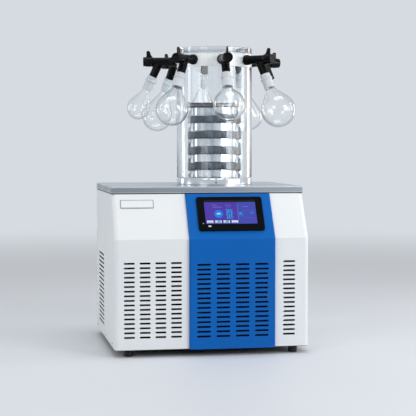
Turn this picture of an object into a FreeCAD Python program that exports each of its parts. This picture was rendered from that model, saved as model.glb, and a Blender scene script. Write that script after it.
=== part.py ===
import FreeCAD, Part
import math
import os

# Benchtop freeze dryer: a sheet-metal cabinet with a refrigerated cold trap under its worktop, a clear
# vacuum chamber on top, and eight rubber manifold valves that each carry a round-bottomed flask.
# Millimetres. +Z is up and the front faces -Y. The cabinet's middle is x = 0 and the worktop's middle
# is y = 0 while the pieces are built; at the end everything moves so that the origin is at the bottom
# centre of the whole object's box.

V = FreeCAD.Vector
ORIGIN = V(0, 0, 0)
EAST = V(1, 0, 0)
NORTH = V(0, 1, 0)
UP = V(0, 0, 1)

# Cabinet
WIDTH = 615.0
TOP_DEPTH = 480.0
TOP_HEIGHT = 525.0
TOP_EDGE = 20.0
STRIP_HEIGHT = 3.0
BEND_HEIGHT = 365.0
SLOPE_RUN = 85.0
FOOT_HEIGHT = 22.0
FOOT_RADIUS = 14.0
FOOT_INSET = 45.0
SHEET = 1.5
CORNER_RADIUS = 14.0
TOP_FLANGE = 18.0
PANEL_WIDTH = 272.0
PANEL_PROUD = 12.0
PANEL_WALL = 2.5
PANEL_RETURN = 14.0
PANEL_EDGE_RADIUS = 5.0
PAN_EDGE = 28.0
PAN_SHEET = 2.0
SEAM = 0.5

# Ventilation slots
SLOT_HEIGHT = 6.0
SLOT_FIRST = 62.0
WHITE_SLOT_PITCH = 14.34
WHITE_SLOT_ROWS = 17
BLUE_SLOT_PITCH = 14.9
BLUE_SLOT_ROWS = 16
LEFT_SLOT_LENGTH = 34.0
LEFT_SLOT_COLUMNS = 4
LEFT_SLOT_START = 45.0
LEFT_SLOT_STEP = 49.0
BLUE_SLOT_LENGTH = 43.5
BLUE_SLOT_COLUMNS = 4
BLUE_SLOT_STEP = 61.3
RIGHT_SLOT_LENGTH = 39.0
RIGHT_SLOT_PLACE = 64.5
SIDE_SLOT_LENGTH = 165.0
SIDE_SLOT_PLACE = 80.0

# Screen and name plate on the sloped front, placed down the slope from its top edge
BEZEL_SIZE = (210.0, 120.0, 7.0)
BEZEL_RADIUS = 8.0
BEZEL_DOWN = 74.0
SCREEN_SIZE = (164.0, 85.0, 1.5)
SCREEN_RAISE = 5.0
SCREEN_BOX = (188.0, 102.0, 30.0)
PLATE_SIZE = (105.0, 30.0, 2.0)
PLATE_X = -230.0
PLATE_DOWN = 36.0

# Chamber stack, on one vertical axis
CHAMBER_X = 61.0
CHAMBER_Y = -19.0
CHAMBER_RADIUS = 125.0
CHAMBER_WALL = 8.0
COLLAR_HEIGHT = 20.0
SEAL_HEIGHT = 3.0
TUBE_TOP = 912.0
PORT_RING_TOP = 955.0
PORT_RING_WALL = 12.0
LID_SEAL_HEIGHT = 2.0
LID_TOP = 976.0
PORT_HEIGHT = 933.0

# Cold trap, hanging in the worktop
TRAP_RADIUS = 101.5
TRAP_BOTTOM = 345.0
TRAP_FLANGE_RADIUS = 122.0
COIL_PIPE_RADIUS = 4.0
COIL_RADIUS = 106.0
COIL_BOTTOM = 390.0
COIL_PITCH = 14.0
COIL_TURNS = 8
FOAM_INNER = 110.5
FOAM_OUTER = 134.0
FOAM_BOTTOM = 318.0
FOAM_TOP = 521.0

# Drying rack
RACK_ANGLE = -8.0
POST_CIRCLE = 83.0
POST_RADIUS = 4.0
SHELF_RADIUS = 72.0
SHELF_SKIRT = 24.0
SHELF_PITCH = 50.3
SHELF_FIRST = 554.0
SHELF_COUNT = 5
TRAY_RADIUS = 77.0
TRAY_HEIGHT = 23.5
TRAY_COUNT = 4

# Ports round the chamber, in degrees from the front towards the right: three at the front and five
# round the back, with a wider gap at each side
PORT_ANGLES = (0.0, 42.0, 102.0, 142.0, 180.0, 218.0, 258.0, 318.0)

# Manifold valve, measured outwards from the chamber's wall and down its branch
NIPPLE_RADIUS = 9.0
NIPPLE_REACH = 32.0
SLEEVE_RADIUS = 14.0
SLEEVE_LENGTH = 98.0
BRANCH_OUT = 57.0
BRANCH_TILT = 25.0
BRANCH_LENGTH = 62.0
PLUG_RADIUS = 8.0
PLUG_START = 44.0
RUNNING_GAP = 0.05
KNOB_RADIUS = 15.5
KNOB_THICKNESS = 13.0
CAP_SKIRT = 18.0
CAP_BORE = 14.4
CAP_RADIUS = 16.6
LEVER_HEIGHT = 36.0
ADAPTER_TOP = 55.0
ADAPTER_BOTTOM = 104.0
NECK_RADIUS = 13.0
NECK_TOP = 84.0
NECK_BOTTOM = 106.0
GLASS = 2.0

# Flask on each port that carries one: body diameter and the distance from the valve's axis to the
# middle of the body. The third port's valve is shut and bare.
FLASKS = {
    1: (102.0, 167.0),
    2: (111.0, 181.0),
    4: (95.0, 196.0),
    5: (94.0, 180.0),
    6: (103.0, 196.0),
    7: (77.0, 169.0),
    8: (104.0, 181.0),
}

# Refrigeration and services
CONDENSER_SIZE = (240.0, 30.0, 220.0)
CONDENSER_Y = -300.0
CONDENSER_Z = 62.0
FIN_COUNT = 24
FAN_SIZE = 200.0
FAN_DEPTH = 25.0
FAN_RADIUS = 88.0
FAN_Y = -262.0
FAN_Z = 172.0
BLADE_COUNT = 5
COMPRESSOR_PLACE = (61.0, 60.0)
COMPRESSOR_RADIUS = 78.0
COMPRESSOR_BOTTOM = 52.0
COMPRESSOR_TOP = 250.0
VACUUM_HEIGHT = 368.0
VACUUM_RADIUS = 14.0
VACUUM_BORE = 12.5
VACUUM_END = 272.0
DRAIN_HEIGHT = 296.0
DRAIN_Y = -120.0
DRAIN_RADIUS = 6.0
INLET_PLACE = (-215.0, 110.0)
ROCKER_TILT = 10.0
SCREW_RADIUS = 2.0
SCREW_HEAD = 3.8

# Planes that follow from the driving dimensions
FRONT_TOP = -TOP_DEPTH / 2
FRONT = FRONT_TOP - SLOPE_RUN
REAR = TOP_DEPTH / 2
SIDE = WIDTH / 2
BODY_TOP = TOP_HEIGHT - TOP_EDGE - STRIP_HEIGHT
SLOPE_DROP = BODY_TOP - BEND_HEIGHT
SLOPE_LENGTH = math.hypot(SLOPE_RUN, SLOPE_DROP)
SLOPE_ANGLE = math.degrees(math.atan2(SLOPE_DROP, SLOPE_RUN))
PANEL_LEFT = CHAMBER_X - PANEL_WIDTH / 2
PANEL_RIGHT = CHAMBER_X + PANEL_WIDTH / 2
STACK_BASE = TOP_HEIGHT + SHEET
COLLAR_TOP = STACK_BASE + COLLAR_HEIGHT
TUBE_BOTTOM = COLLAR_TOP + SEAL_HEIGHT
LID_BOTTOM = PORT_RING_TOP + LID_SEAL_HEIGHT
PAN_FLOOR = FOOT_HEIGHT + PAN_SHEET

PORTS = range(1, len(PORT_ANGLES) + 1)

nodes = {}


def box(x, y, z):
    """A box between two values along each axis."""
    return Part.makeBox(x[1] - x[0], y[1] - y[0], z[1] - z[0], V(x[0], y[0], z[0]))


def face_of(points):
    """A flat face with straight edges through the points."""
    corners = [V(*p) for p in points]
    return Part.Face(Part.makePolygon(corners + corners[:1]))


def turned(profile, x=0.0, y=0.0):
    """A solid turned about a vertical axis from (radius, height) corners."""
    solid = face_of([(r, 0, z) for r, z in profile]).revolve(ORIGIN, UP, 360)
    solid.translate(V(x, y, 0))
    return solid


def ring(outer, inner, bottom, top, x=CHAMBER_X, y=CHAMBER_Y, chamfer=0.0):
    """A ring, with its outer edges broken by a chamfer."""
    c = chamfer
    profile = [(inner, bottom), (outer - c, bottom), (outer, bottom + c), (outer, top - c)]
    profile += [(outer - c, top), (inner, top)]
    if not c:
        profile = [(inner, bottom), (outer, bottom), (outer, top), (inner, top)]
    return turned(profile, x, y)


def rod(radius, start, end):
    """A round bar from one point to another."""
    span = V(*end) - V(*start)
    return Part.makeCylinder(radius, span.Length, V(*start), span)


def stadium(length, height, depth):
    """A bar along Y whose section in XZ is a slot with round ends, centred on the origin."""
    flat = length / 2 - height / 2
    half = height / 2
    edges = [
        Part.LineSegment(V(-flat, 0, half), V(flat, 0, half)),
        Part.Arc(V(flat, 0, half), V(flat + half, 0, 0), V(flat, 0, -half)),
        Part.LineSegment(V(flat, 0, -half), V(-flat, 0, -half)),
        Part.Arc(V(-flat, 0, -half), V(-flat - half, 0, 0), V(-flat, 0, half)),
    ]
    wire = Part.Wire([e.toShape() for e in edges])
    bar = Part.Face(wire).extrude(V(0, depth, 0))
    bar.translate(V(0, -depth / 2, 0))
    return bar


def slot_bank(columns, rows, pitch, length, y):
    """Slot cutters through a wall near y: one column at each x, rows upwards from the first slot."""
    bars = []
    for x in columns:
        for row in range(rows):
            bar = stadium(length, SLOT_HEIGHT, 8.0)
            bar.translate(V(x, y, SLOT_FIRST + row * pitch))
            bars.append(bar)
    return Part.makeCompound(bars)


def side_slots(x):
    """Slot cutters through a side wall."""
    bank = slot_bank([0], WHITE_SLOT_ROWS, WHITE_SLOT_PITCH, SIDE_SLOT_LENGTH, 0)
    bank.rotate(ORIGIN, UP, 90)
    bank.translate(V(x, SIDE_SLOT_PLACE, 0))
    return bank


def round_slab(size, radius):
    """A flat slab with rounded corners, centred in X and Y, with its back at z = 0."""
    slab = box((-size[0] / 2, size[0] / 2), (-size[1] / 2, size[1] / 2), (0, size[2]))
    upright = [e for e in slab.Edges if abs(e.Vertexes[0].Z - e.Vertexes[1].Z) > 0.5]
    return slab.makeFillet(radius, upright)


def on_slope(shape, x, down, proud=0.0):
    """Lay a shape on the sloped front: its z becomes the slope's outward normal, its y runs uphill."""
    placed = shape.copy()
    placed.rotate(ORIGIN, EAST, SLOPE_ANGLE)
    step = down / SLOPE_LENGTH
    placed.translate(V(x, FRONT_TOP - proud - step * SLOPE_RUN, BODY_TOP - step * SLOPE_DROP))
    return placed


def at_port(shape, number):
    """Place a shape drawn along +X from the chamber's axis at a port, counted from 1 at the front."""
    placed = shape.copy()
    placed.rotate(ORIGIN, UP, PORT_ANGLES[number - 1] - 90)
    placed.translate(V(CHAMBER_X, CHAMBER_Y, PORT_HEIGHT))
    return placed


def down_branch(shape):
    """Turn a shape drawn along +X so that it lies along a valve's branch."""
    placed = shape.copy()
    placed.rotate(ORIGIN, NORTH, 90 - BRANCH_TILT)
    placed.translate(V(CHAMBER_RADIUS + BRANCH_OUT, 0, 0))
    return placed


def along_x(profile):
    """A solid turned about the X axis from (x, radius) corners."""
    return face_of([(x, 0, r) for x, r in profile]).revolve(ORIGIN, EAST, 360)


def bent_pipe(points, radius, bend):
    """A solid pipe along straight runs joined by tangent arcs of one bend radius."""
    corners = [V(*p) for p in points]
    edges = []
    start = corners[0]
    for before, here, after in zip(corners, corners[1:], corners[2:]):
        back = (before - here).normalize()
        ahead = (after - here).normalize()
        half_turn = (math.pi - back.getAngle(ahead)) / 2
        cut = bend * math.tan(half_turn)
        enter = here + back * cut
        leave = here + ahead * cut
        middle = (back + ahead).normalize()
        crown = here + middle * (bend / math.cos(half_turn) - bend)
        edges.append(Part.LineSegment(start, enter).toShape())
        edges.append(Part.Arc(enter, crown, leave).toShape())
        start = leave
    edges.append(Part.LineSegment(start, corners[-1]).toShape())
    section = Part.Wire([Part.makeCircle(radius, corners[0], corners[1] - corners[0])])
    return Part.Wire(edges).makePipeShell([section], True, False)


# Cabinet casing


def cabinet_block(inset, radius):
    """The cabinet's outline as a block, inset all over, with its upright front edges rounded."""
    outline = [
        (REAR, FOOT_HEIGHT),
        (FRONT, FOOT_HEIGHT),
        (FRONT, BEND_HEIGHT),
        (FRONT_TOP, BODY_TOP),
        (REAR, BODY_TOP),
    ]
    corners = [V(-SIDE + inset, y, z) for y, z in outline]
    wire = Part.makePolygon(corners + corners[:1])
    if inset:
        wire = wire.makeOffset2D(-inset, 2)
    block = Part.Face(wire).extrude(V(WIDTH - 2 * inset, 0, 0))
    fronts = []
    for edge in block.Edges:
        low, high = sorted(v.Z for v in edge.Vertexes)
        if high - low > SLOPE_DROP / 2 and edge.CenterOfMass.y < FRONT_TOP:
            fronts.append(edge)
    return block.makeFillet(radius, fronts)


def screw_places():
    """Point and outward direction of each casing screw."""
    places = []
    for x in (-SIDE + 12, SIDE - 12):
        for z in (40, 190, 340, 480):
            places.append(((x, REAR, z), (0, 1, 0)))
    for side in (-1, 1):
        for y in (-250, -60, 200):
            places.append(((side * SIDE, y, 36), (side, 0, 0)))
    return places


def casing_screws(shank_only=False):
    """Pan-head screws that hold the covers and the rear panel."""
    screws = []
    for place, outward in screw_places():
        point, out = V(*place), V(*outward)
        shank = Part.makeCylinder(SCREW_RADIUS, 8 + SHEET, point - out * (8 + SHEET), out)
        if shank_only:
            screws.append(shank)
            continue
        head = Part.makeCylinder(SCREW_HEAD, 2.2, point, out)
        far_edge = max(head.Edges, key=lambda e: (e.CenterOfMass - point).dot(out))
        screws.append(head.makeFillet(1.4, [far_edge]).fuse(shank).removeSplitter())
    return Part.makeCompound(screws)


def casing_shell():
    """The whole casing as one bent sheet, open below and behind, with a flange around its top."""
    shell = cabinet_block(0, CORNER_RADIUS).cut(cabinet_block(SHEET, CORNER_RADIUS - SHEET))
    hatch_x = (-SIDE + TOP_FLANGE, SIDE - TOP_FLANGE)
    hatch = box(hatch_x, (FRONT_TOP + TOP_FLANGE, REAR + 1), (BODY_TOP - 5, BODY_TOP + 1))
    below = box((-SIDE - 1, SIDE + 1), (FRONT - 1, REAR + 1), (0, FOOT_HEIGHT + SHEET))
    behind = box((-SIDE - 1, SIDE + 1), (REAR - SHEET, REAR + 1), (0, BODY_TOP + 1))
    return shell.cut([hatch, below, behind])


def left_cover(shell):
    """Left side and left front bent from one sheet, with its slots and screw holes."""
    keep = box((-SIDE - 1, PANEL_LEFT - SEAM), (FRONT - 1, REAR), (0, BODY_TOP + 1))
    columns = [-SIDE + LEFT_SLOT_START + i * LEFT_SLOT_STEP for i in range(LEFT_SLOT_COLUMNS)]
    front = slot_bank(columns, WHITE_SLOT_ROWS, WHITE_SLOT_PITCH, LEFT_SLOT_LENGTH, FRONT)
    holes = casing_screws(shank_only=True)
    return shell.common(keep).cut([front, side_slots(-SIDE), holes])


def right_cover(shell):
    """Right side and right front bent from one sheet, with its slots, screw holes and drain hole."""
    keep = box((PANEL_RIGHT + SEAM, SIDE + 1), (FRONT - 1, REAR), (0, BODY_TOP + 1))
    columns = [SIDE - RIGHT_SLOT_PLACE]
    front = slot_bank(columns, WHITE_SLOT_ROWS, WHITE_SLOT_PITCH, RIGHT_SLOT_LENGTH, FRONT)
    drain = rod(DRAIN_RADIUS + 0.5, (SIDE - 20, DRAIN_Y, DRAIN_HEIGHT), (SIDE + 5, DRAIN_Y, DRAIN_HEIGHT))
    holes = casing_screws(shank_only=True)
    return shell.common(keep).cut([front, side_slots(SIDE), drain, holes])


def front_panel():
    """The blue centre panel: a shallow folded pan that stands proud of the covers."""

    def pan(proud, inset, back):
        path = [
            (FRONT - proud, FOOT_HEIGHT + inset),
            (FRONT - proud, BEND_HEIGHT),
            (FRONT_TOP - proud, BODY_TOP - inset),
        ]
        outline = path + [(y + proud + back, z) for y, z in reversed(path)]
        corners = [(PANEL_LEFT + inset, y, z) for y, z in outline]
        return face_of(corners).extrude(V(PANEL_WIDTH - 2 * inset, 0, 0))

    outer = pan(PANEL_PROUD, 0, PANEL_RETURN)
    rim = []
    for edge in outer.Edges:
        low, high = sorted(v.Z for v in edge.Vertexes)
        if high - low > SLOPE_DROP / 2 and edge.CenterOfMass.y < FRONT_TOP - PANEL_PROUD - 20:
            at_front = edge.CenterOfMass.y < FRONT - PANEL_PROUD + 1
            on_face = abs(edge.CenterOfMass.y - (FRONT + FRONT_TOP) / 2 + PANEL_PROUD) < 1
            if at_front or on_face:
                rim.append(edge)
    outer = outer.makeFillet(PANEL_EDGE_RADIUS, rim)
    inner = pan(PANEL_PROUD - PANEL_WALL, PANEL_WALL, PANEL_RETURN + 1)
    first = CHAMBER_X - BLUE_SLOT_STEP * (BLUE_SLOT_COLUMNS - 1) / 2
    columns = [first + i * BLUE_SLOT_STEP for i in range(BLUE_SLOT_COLUMNS)]
    wall = FRONT - PANEL_PROUD
    slots = slot_bank(columns, BLUE_SLOT_ROWS, BLUE_SLOT_PITCH, BLUE_SLOT_LENGTH, wall)
    window = round_slab((SCREEN_BOX[0] + 1, SCREEN_BOX[1] + 1, 20), 3)
    window.translate(V(0, 0, -10))
    window = on_slope(window, CHAMBER_X, BEZEL_DOWN, PANEL_PROUD)
    sill = box((-SIDE, SIDE), (FRONT, 0), (0, FOOT_HEIGHT + PAN_EDGE + 1))
    return outer.cut([inner, slots, window, sill])


def base_pan():
    """The floor of the cabinet, a tray with upturned edges inside the covers."""
    gap = SHEET + 0.2
    across = (-SIDE + gap, SIDE - gap)
    along = (FRONT + gap, REAR - gap)
    pan = box(across, along, (FOOT_HEIGHT, FOOT_HEIGHT + PAN_EDGE))
    inside = box(
        (across[0] + PAN_SHEET, across[1] - PAN_SHEET),
        (along[0] + PAN_SHEET, along[1] - PAN_SHEET),
        (PAN_FLOOR, PAN_FLOOR + PAN_EDGE),
    )
    front_corners = [e for e in pan.Edges if e.Length < PAN_EDGE + 1 and e.CenterOfMass.y < 0]
    pan = pan.makeFillet(CORNER_RADIUS - gap, front_corners)
    inner_corners = [e for e in inside.Edges if e.Length < PAN_EDGE + 1 and e.CenterOfMass.y < 0]
    inside = inside.makeFillet(CORNER_RADIUS - gap - PAN_SHEET, inner_corners)
    return pan.cut([inside, casing_screws(shank_only=True)])


def rear_panel():
    """The flat rear panel, with an outlet grille, the power inlet's cut-out and the vacuum hole."""
    panel = box((-SIDE + 2, SIDE - 2), (REAR - SHEET, REAR), (FOOT_HEIGHT + SHEET, BODY_TOP))
    columns = [CHAMBER_X + (i - 1) * 70 for i in range(3)]
    grille = slot_bank(columns, 14, WHITE_SLOT_PITCH, 56, REAR)
    x, z = INLET_PLACE
    cutout = box((x - 27.2, x + 27.2), (REAR - 10, REAR + 10), (z - 14.2, z + 14.2))
    vacuum = rod(VACUUM_RADIUS + 1, (CHAMBER_X, 200, VACUUM_HEIGHT), (CHAMBER_X, 260, VACUUM_HEIGHT))
    return panel.cut([grille, cutout, vacuum, casing_screws(shank_only=True)])


def worktop():
    """The stainless worktop: a sheet with its edges turned down, and the hole for the cold trap."""
    top = box((-SIDE, SIDE), (FRONT_TOP, REAR), (TOP_HEIGHT - TOP_EDGE, TOP_HEIGHT))
    rim = [e for e in top.Edges if e.CenterOfMass.z > TOP_HEIGHT - 0.1]
    top = top.makeFillet(1.5, rim)
    inside = box(
        (-SIDE + SHEET, SIDE - SHEET),
        (FRONT_TOP + SHEET, REAR - SHEET),
        (TOP_HEIGHT - TOP_EDGE - 1, TOP_HEIGHT - SHEET),
    )
    hole = rod(TRAP_RADIUS + 0.3, (CHAMBER_X, CHAMBER_Y, 480), (CHAMBER_X, CHAMBER_Y, 560))
    return top.cut([inside, hole])


def worktop_strip():
    """The black foam strip between the casing's top flange and the worktop's edges."""
    low = TOP_HEIGHT - TOP_EDGE - STRIP_HEIGHT
    edge = 1.0
    outer = box((-SIDE + edge, SIDE - edge), (FRONT_TOP + edge, REAR - edge), (low, low + STRIP_HEIGHT))
    inner = box((-SIDE + 15, SIDE - 15), (FRONT_TOP + 15, REAR - 15), (low - 1, low + 9))
    return outer.cut(inner)


def feet():
    """Four rubber feet."""
    profile = [
        (0, 0),
        (FOOT_RADIUS - 2, 0),
        (FOOT_RADIUS, 2),
        (FOOT_RADIUS, FOOT_HEIGHT - 4),
        (FOOT_RADIUS - 2, FOOT_HEIGHT),
        (0, FOOT_HEIGHT),
    ]
    places = []
    for x in (-SIDE + FOOT_INSET, SIDE - FOOT_INSET):
        for y in (FRONT + 30, REAR - 40):
            places.append(turned(profile, x, y))
    return Part.makeCompound(places)


def screen_bezel():
    """The control panel's housing: a rounded frame outside and its electronics box behind."""
    frame = round_slab(BEZEL_SIZE, BEZEL_RADIUS)
    front = [e for e in frame.Edges if e.CenterOfMass.z > BEZEL_SIZE[2] - 0.1]
    frame = frame.makeFillet(2.0, front)
    behind = round_slab(SCREEN_BOX, 3)
    behind.translate(V(0, 0, -SCREEN_BOX[2]))
    pocket = round_slab(SCREEN_SIZE, 2)
    pocket.translate(V(0, SCREEN_RAISE, BEZEL_SIZE[2] - SCREEN_SIZE[2]))
    return on_slope(frame.fuse(behind).cut(pocket), CHAMBER_X, BEZEL_DOWN, PANEL_PROUD)


def screen_glass():
    """The display, let into the frame's face."""
    glass = round_slab(SCREEN_SIZE, 2)
    glass.translate(V(0, SCREEN_RAISE, BEZEL_SIZE[2] - SCREEN_SIZE[2]))
    return on_slope(glass, CHAMBER_X, BEZEL_DOWN, PANEL_PROUD)


def name_plate():
    """A bare metal plate on the left cover's slope."""
    plate = round_slab(PLATE_SIZE, 2.5)
    front = [e for e in plate.Edges if e.CenterOfMass.z > PLATE_SIZE[2] - 0.1]
    return on_slope(plate.makeFillet(0.8, front), PLATE_X, PLATE_DOWN)


# Chamber stack


def chamber_collar():
    """The polished steel ring around the trap's mouth, with one small bleed hole at the front."""
    collar = ring(CHAMBER_RADIUS + 1, CHAMBER_RADIUS - 11, STACK_BASE, COLLAR_TOP, chamfer=1.5)
    hole = rod(1.8, (0, -CHAMBER_RADIUS + 8, 0), (0, -CHAMBER_RADIUS - 5, 0))
    hole.rotate(ORIGIN, UP, RACK_ANGLE)
    hole.translate(V(CHAMBER_X, CHAMBER_Y, STACK_BASE + 8))
    return collar.cut(hole)


def port_ring():
    """The thick ring at the chamber's top, drilled for the eight nipples."""
    body = ring(CHAMBER_RADIUS, CHAMBER_RADIUS - PORT_RING_WALL, TUBE_TOP, PORT_RING_TOP)
    holes = []
    for number in PORTS:
        hole = rod(NIPPLE_RADIUS, (CHAMBER_RADIUS - 20, 0, 0), (CHAMBER_RADIUS + 5, 0, 0))
        holes.append(at_port(hole, number))
    return body.cut(holes)


def port_nipples():
    """Eight steel nipples pressed into the port ring."""
    profile = [
        (CHAMBER_RADIUS - PORT_RING_WALL, NIPPLE_RADIUS - 2),
        (CHAMBER_RADIUS + NIPPLE_REACH, NIPPLE_RADIUS - 2),
        (CHAMBER_RADIUS + NIPPLE_REACH, NIPPLE_RADIUS),
        (CHAMBER_RADIUS - PORT_RING_WALL, NIPPLE_RADIUS),
    ]
    nipple = along_x(profile)
    return Part.makeCompound([at_port(nipple, n) for n in PORTS])


def cold_trap():
    """The steel bucket where the ice collects, hung by its flange, with vacuum and drain holes."""
    wall = TRAP_RADIUS - SHEET
    profile = [
        (0, TRAP_BOTTOM),
        (TRAP_RADIUS, TRAP_BOTTOM),
        (TRAP_RADIUS, TOP_HEIGHT),
        (TRAP_FLANGE_RADIUS, TOP_HEIGHT),
        (TRAP_FLANGE_RADIUS, STACK_BASE),
        (wall, STACK_BASE),
        (wall, TRAP_BOTTOM + SHEET),
        (0, TRAP_BOTTOM + SHEET),
    ]
    bucket = turned(profile, CHAMBER_X, CHAMBER_Y)
    side_hole = rod(
        VACUUM_BORE,
        (CHAMBER_X, CHAMBER_Y + 80, VACUUM_HEIGHT),
        (CHAMBER_X, CHAMBER_Y + 120, VACUUM_HEIGHT),
    )
    drain = rod(4, (CHAMBER_X, CHAMBER_Y, TRAP_BOTTOM - 5), (CHAMBER_X, CHAMBER_Y, TRAP_BOTTOM + 5))
    return bucket.cut([side_hole, drain])


def evaporator_coil():
    """The copper pipe wound round the trap."""
    helix = Part.makeHelix(COIL_PITCH, COIL_PITCH * COIL_TURNS, COIL_RADIUS)
    slope = COIL_PITCH / (2 * math.pi * COIL_RADIUS)
    section = Part.Wire([Part.makeCircle(COIL_PIPE_RADIUS, V(COIL_RADIUS, 0, 0), V(0, 1, slope))])
    coil = Part.Wire(helix).makePipeShell([section], True, True)
    coil.translate(V(CHAMBER_X, CHAMBER_Y, COIL_BOTTOM))
    return coil


def trap_insulation():
    """The foam jacket around the trap and its coil."""
    profile = [
        (DRAIN_RADIUS + 0.5, FOAM_BOTTOM),
        (FOAM_OUTER, FOAM_BOTTOM),
        (FOAM_OUTER, FOAM_TOP),
        (FOAM_INNER, FOAM_TOP),
        (FOAM_INNER, TRAP_BOTTOM),
        (DRAIN_RADIUS + 0.5, TRAP_BOTTOM),
    ]
    jacket = turned(profile, CHAMBER_X, CHAMBER_Y)
    start, end = (CHAMBER_X, CHAMBER_Y + 90, VACUUM_HEIGHT), (CHAMBER_X, 150, VACUUM_HEIGHT)
    pipe = rod(VACUUM_RADIUS + 0.3, start, end)
    return jacket.cut(pipe)


def rack_place(shape, angle):
    """Turn a rack piece about the chamber's axis and set it there."""
    placed = shape.copy()
    placed.rotate(ORIGIN, UP, RACK_ANGLE + angle)
    placed.translate(V(CHAMBER_X, CHAMBER_Y, 0))
    return placed


def rack_frame():
    """Base plate, three posts and top plate, welded together; the base rests on the trap's flange."""
    plate_bottom = STACK_BASE
    top_low = SHELF_FIRST + SHELF_SKIRT + SHELF_PITCH * (SHELF_COUNT - 1) + 4
    base = turned([(0, plate_bottom), (112, plate_bottom), (112, plate_bottom + 3), (0, plate_bottom + 3)])
    vents = []
    for i in range(6):
        hole = rod(17, (52, 0, plate_bottom - 1), (52, 0, plate_bottom + 5))
        hole.rotate(ORIGIN, UP, i * 60)
        vents.append(hole)
    vents.append(rod(15, (0, 0, plate_bottom - 1), (0, 0, plate_bottom + 5)))
    base = base.cut(vents)
    rim = TRAY_RADIUS + 11
    top = turned([(0, top_low), (rim, top_low), (rim, top_low + 5), (0, top_low + 5)])
    posts = []
    for angle in (0, 90, 180):
        post = rod(POST_RADIUS, (POST_CIRCLE, 0, plate_bottom + 1), (POST_CIRCLE, 0, top_low + 13))
        post.rotate(ORIGIN, UP, angle)
        posts.append(post)
    return rack_place(base.fuse([top] + posts).removeSplitter(), 0)


def shelf_height(level):
    """Underside of a shelf's skirt."""
    return SHELF_FIRST + level * SHELF_PITCH


def rack_shelves():
    """Five skirted steel shelves, each with three lugs bored for the posts."""
    shelves = []
    for level in range(SHELF_COUNT):
        low = shelf_height(level)
        high = low + SHELF_SKIRT
        inside = SHELF_RADIUS - SHEET
        profile = [(0, high - SHEET), (inside, high - SHEET), (inside, low), (SHELF_RADIUS, low)]
        shelf = turned(profile + [(SHELF_RADIUS, high), (0, high)])
        lugs = []
        for angle in (0, 90, 180):
            tab = box((SHELF_RADIUS - 1, POST_CIRCLE), (-7, 7), (high - 8, high - 4))
            tab = tab.fuse(rod(7, (POST_CIRCLE, 0, high - 8), (POST_CIRCLE, 0, high - 4)))
            tab = tab.cut(rod(POST_RADIUS, (POST_CIRCLE, 0, high - 9), (POST_CIRCLE, 0, high)))
            tab.rotate(ORIGIN, UP, angle)
            lugs.append(tab)
        shelves.append(rack_place(shelf.fuse(lugs).removeSplitter(), 0))
    return Part.makeCompound(shelves)


def rack_nuts():
    """Hexagon nuts below and above each shelf lug."""
    nuts = []
    for level in range(SHELF_COUNT):
        high = shelf_height(level) + SHELF_SKIRT
        for angle in (0, 90, 180):
            for low in (high - 12.5, high - 4):
                turns = [i * math.pi / 3 for i in range(6)]
                corners = [(6.5 * math.cos(turn), 6.5 * math.sin(turn), low) for turn in turns]
                nut = face_of(corners).extrude(V(0, 0, 4.5 if low < high - 8 else 3.5))
                nut = nut.cut(rod(POST_RADIUS, (0, 0, low - 1), (0, 0, low + 6)))
                nut.translate(V(POST_CIRCLE, 0, 0))
                nut.rotate(ORIGIN, UP, angle)
                nuts.append(rack_place(nut, 0))
    return Part.makeCompound(nuts)


def tray(level):
    """A shallow round dish that rests on a shelf."""
    low = shelf_height(level) + SHELF_SKIRT
    high = low + TRAY_HEIGHT
    wall = TRAY_RADIUS - 1.2
    profile = [(0, low), (TRAY_RADIUS - 2, low), (TRAY_RADIUS, low + 2), (TRAY_RADIUS, high)]
    profile += [(wall, high), (wall, low + 2.5), (wall - 1.3, low + 1.2), (0, low + 1.2)]
    return turned(profile, CHAMBER_X, CHAMBER_Y)


# Manifold valves


def valve_body():
    """A rubber valve: a sleeve that pushes on the nipple, with a branch down to the flask."""
    r = CHAMBER_RADIUS
    outline = [
        (r + 1, 0),
        (r + 1, SLEEVE_RADIUS),
        (r + 4, SLEEVE_RADIUS + 2.5),
        (r + 14, SLEEVE_RADIUS + 2),
        (r + 22, SLEEVE_RADIUS),
        (r + SLEEVE_LENGTH, SLEEVE_RADIUS),
        (r + SLEEVE_LENGTH, 0),
    ]
    sleeve = along_x(outline)
    branch = along_x([(0, 0), (BRANCH_LENGTH, 0), (BRANCH_LENGTH, SLEEVE_RADIUS - 0.5), (0, SLEEVE_RADIUS)])
    cavity = along_x([
        (r, 0),
        (r, NIPPLE_RADIUS),
        (r + NIPPLE_REACH, NIPPLE_RADIUS),
        (r + NIPPLE_REACH, 6),
        (r + PLUG_START - 1, 6),
        (r + PLUG_START - 1, PLUG_RADIUS + RUNNING_GAP),
        (r + SLEEVE_LENGTH + 1, PLUG_RADIUS + RUNNING_GAP),
        (r + SLEEVE_LENGTH + 1, 0),
    ])
    passage = down_branch(along_x([(0, 0), (BRANCH_LENGTH + 1, 0), (BRANCH_LENGTH + 1, 7), (0, 7)]))
    return sleeve.fuse(down_branch(branch)).cut([cavity, passage]).removeSplitter()


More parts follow.
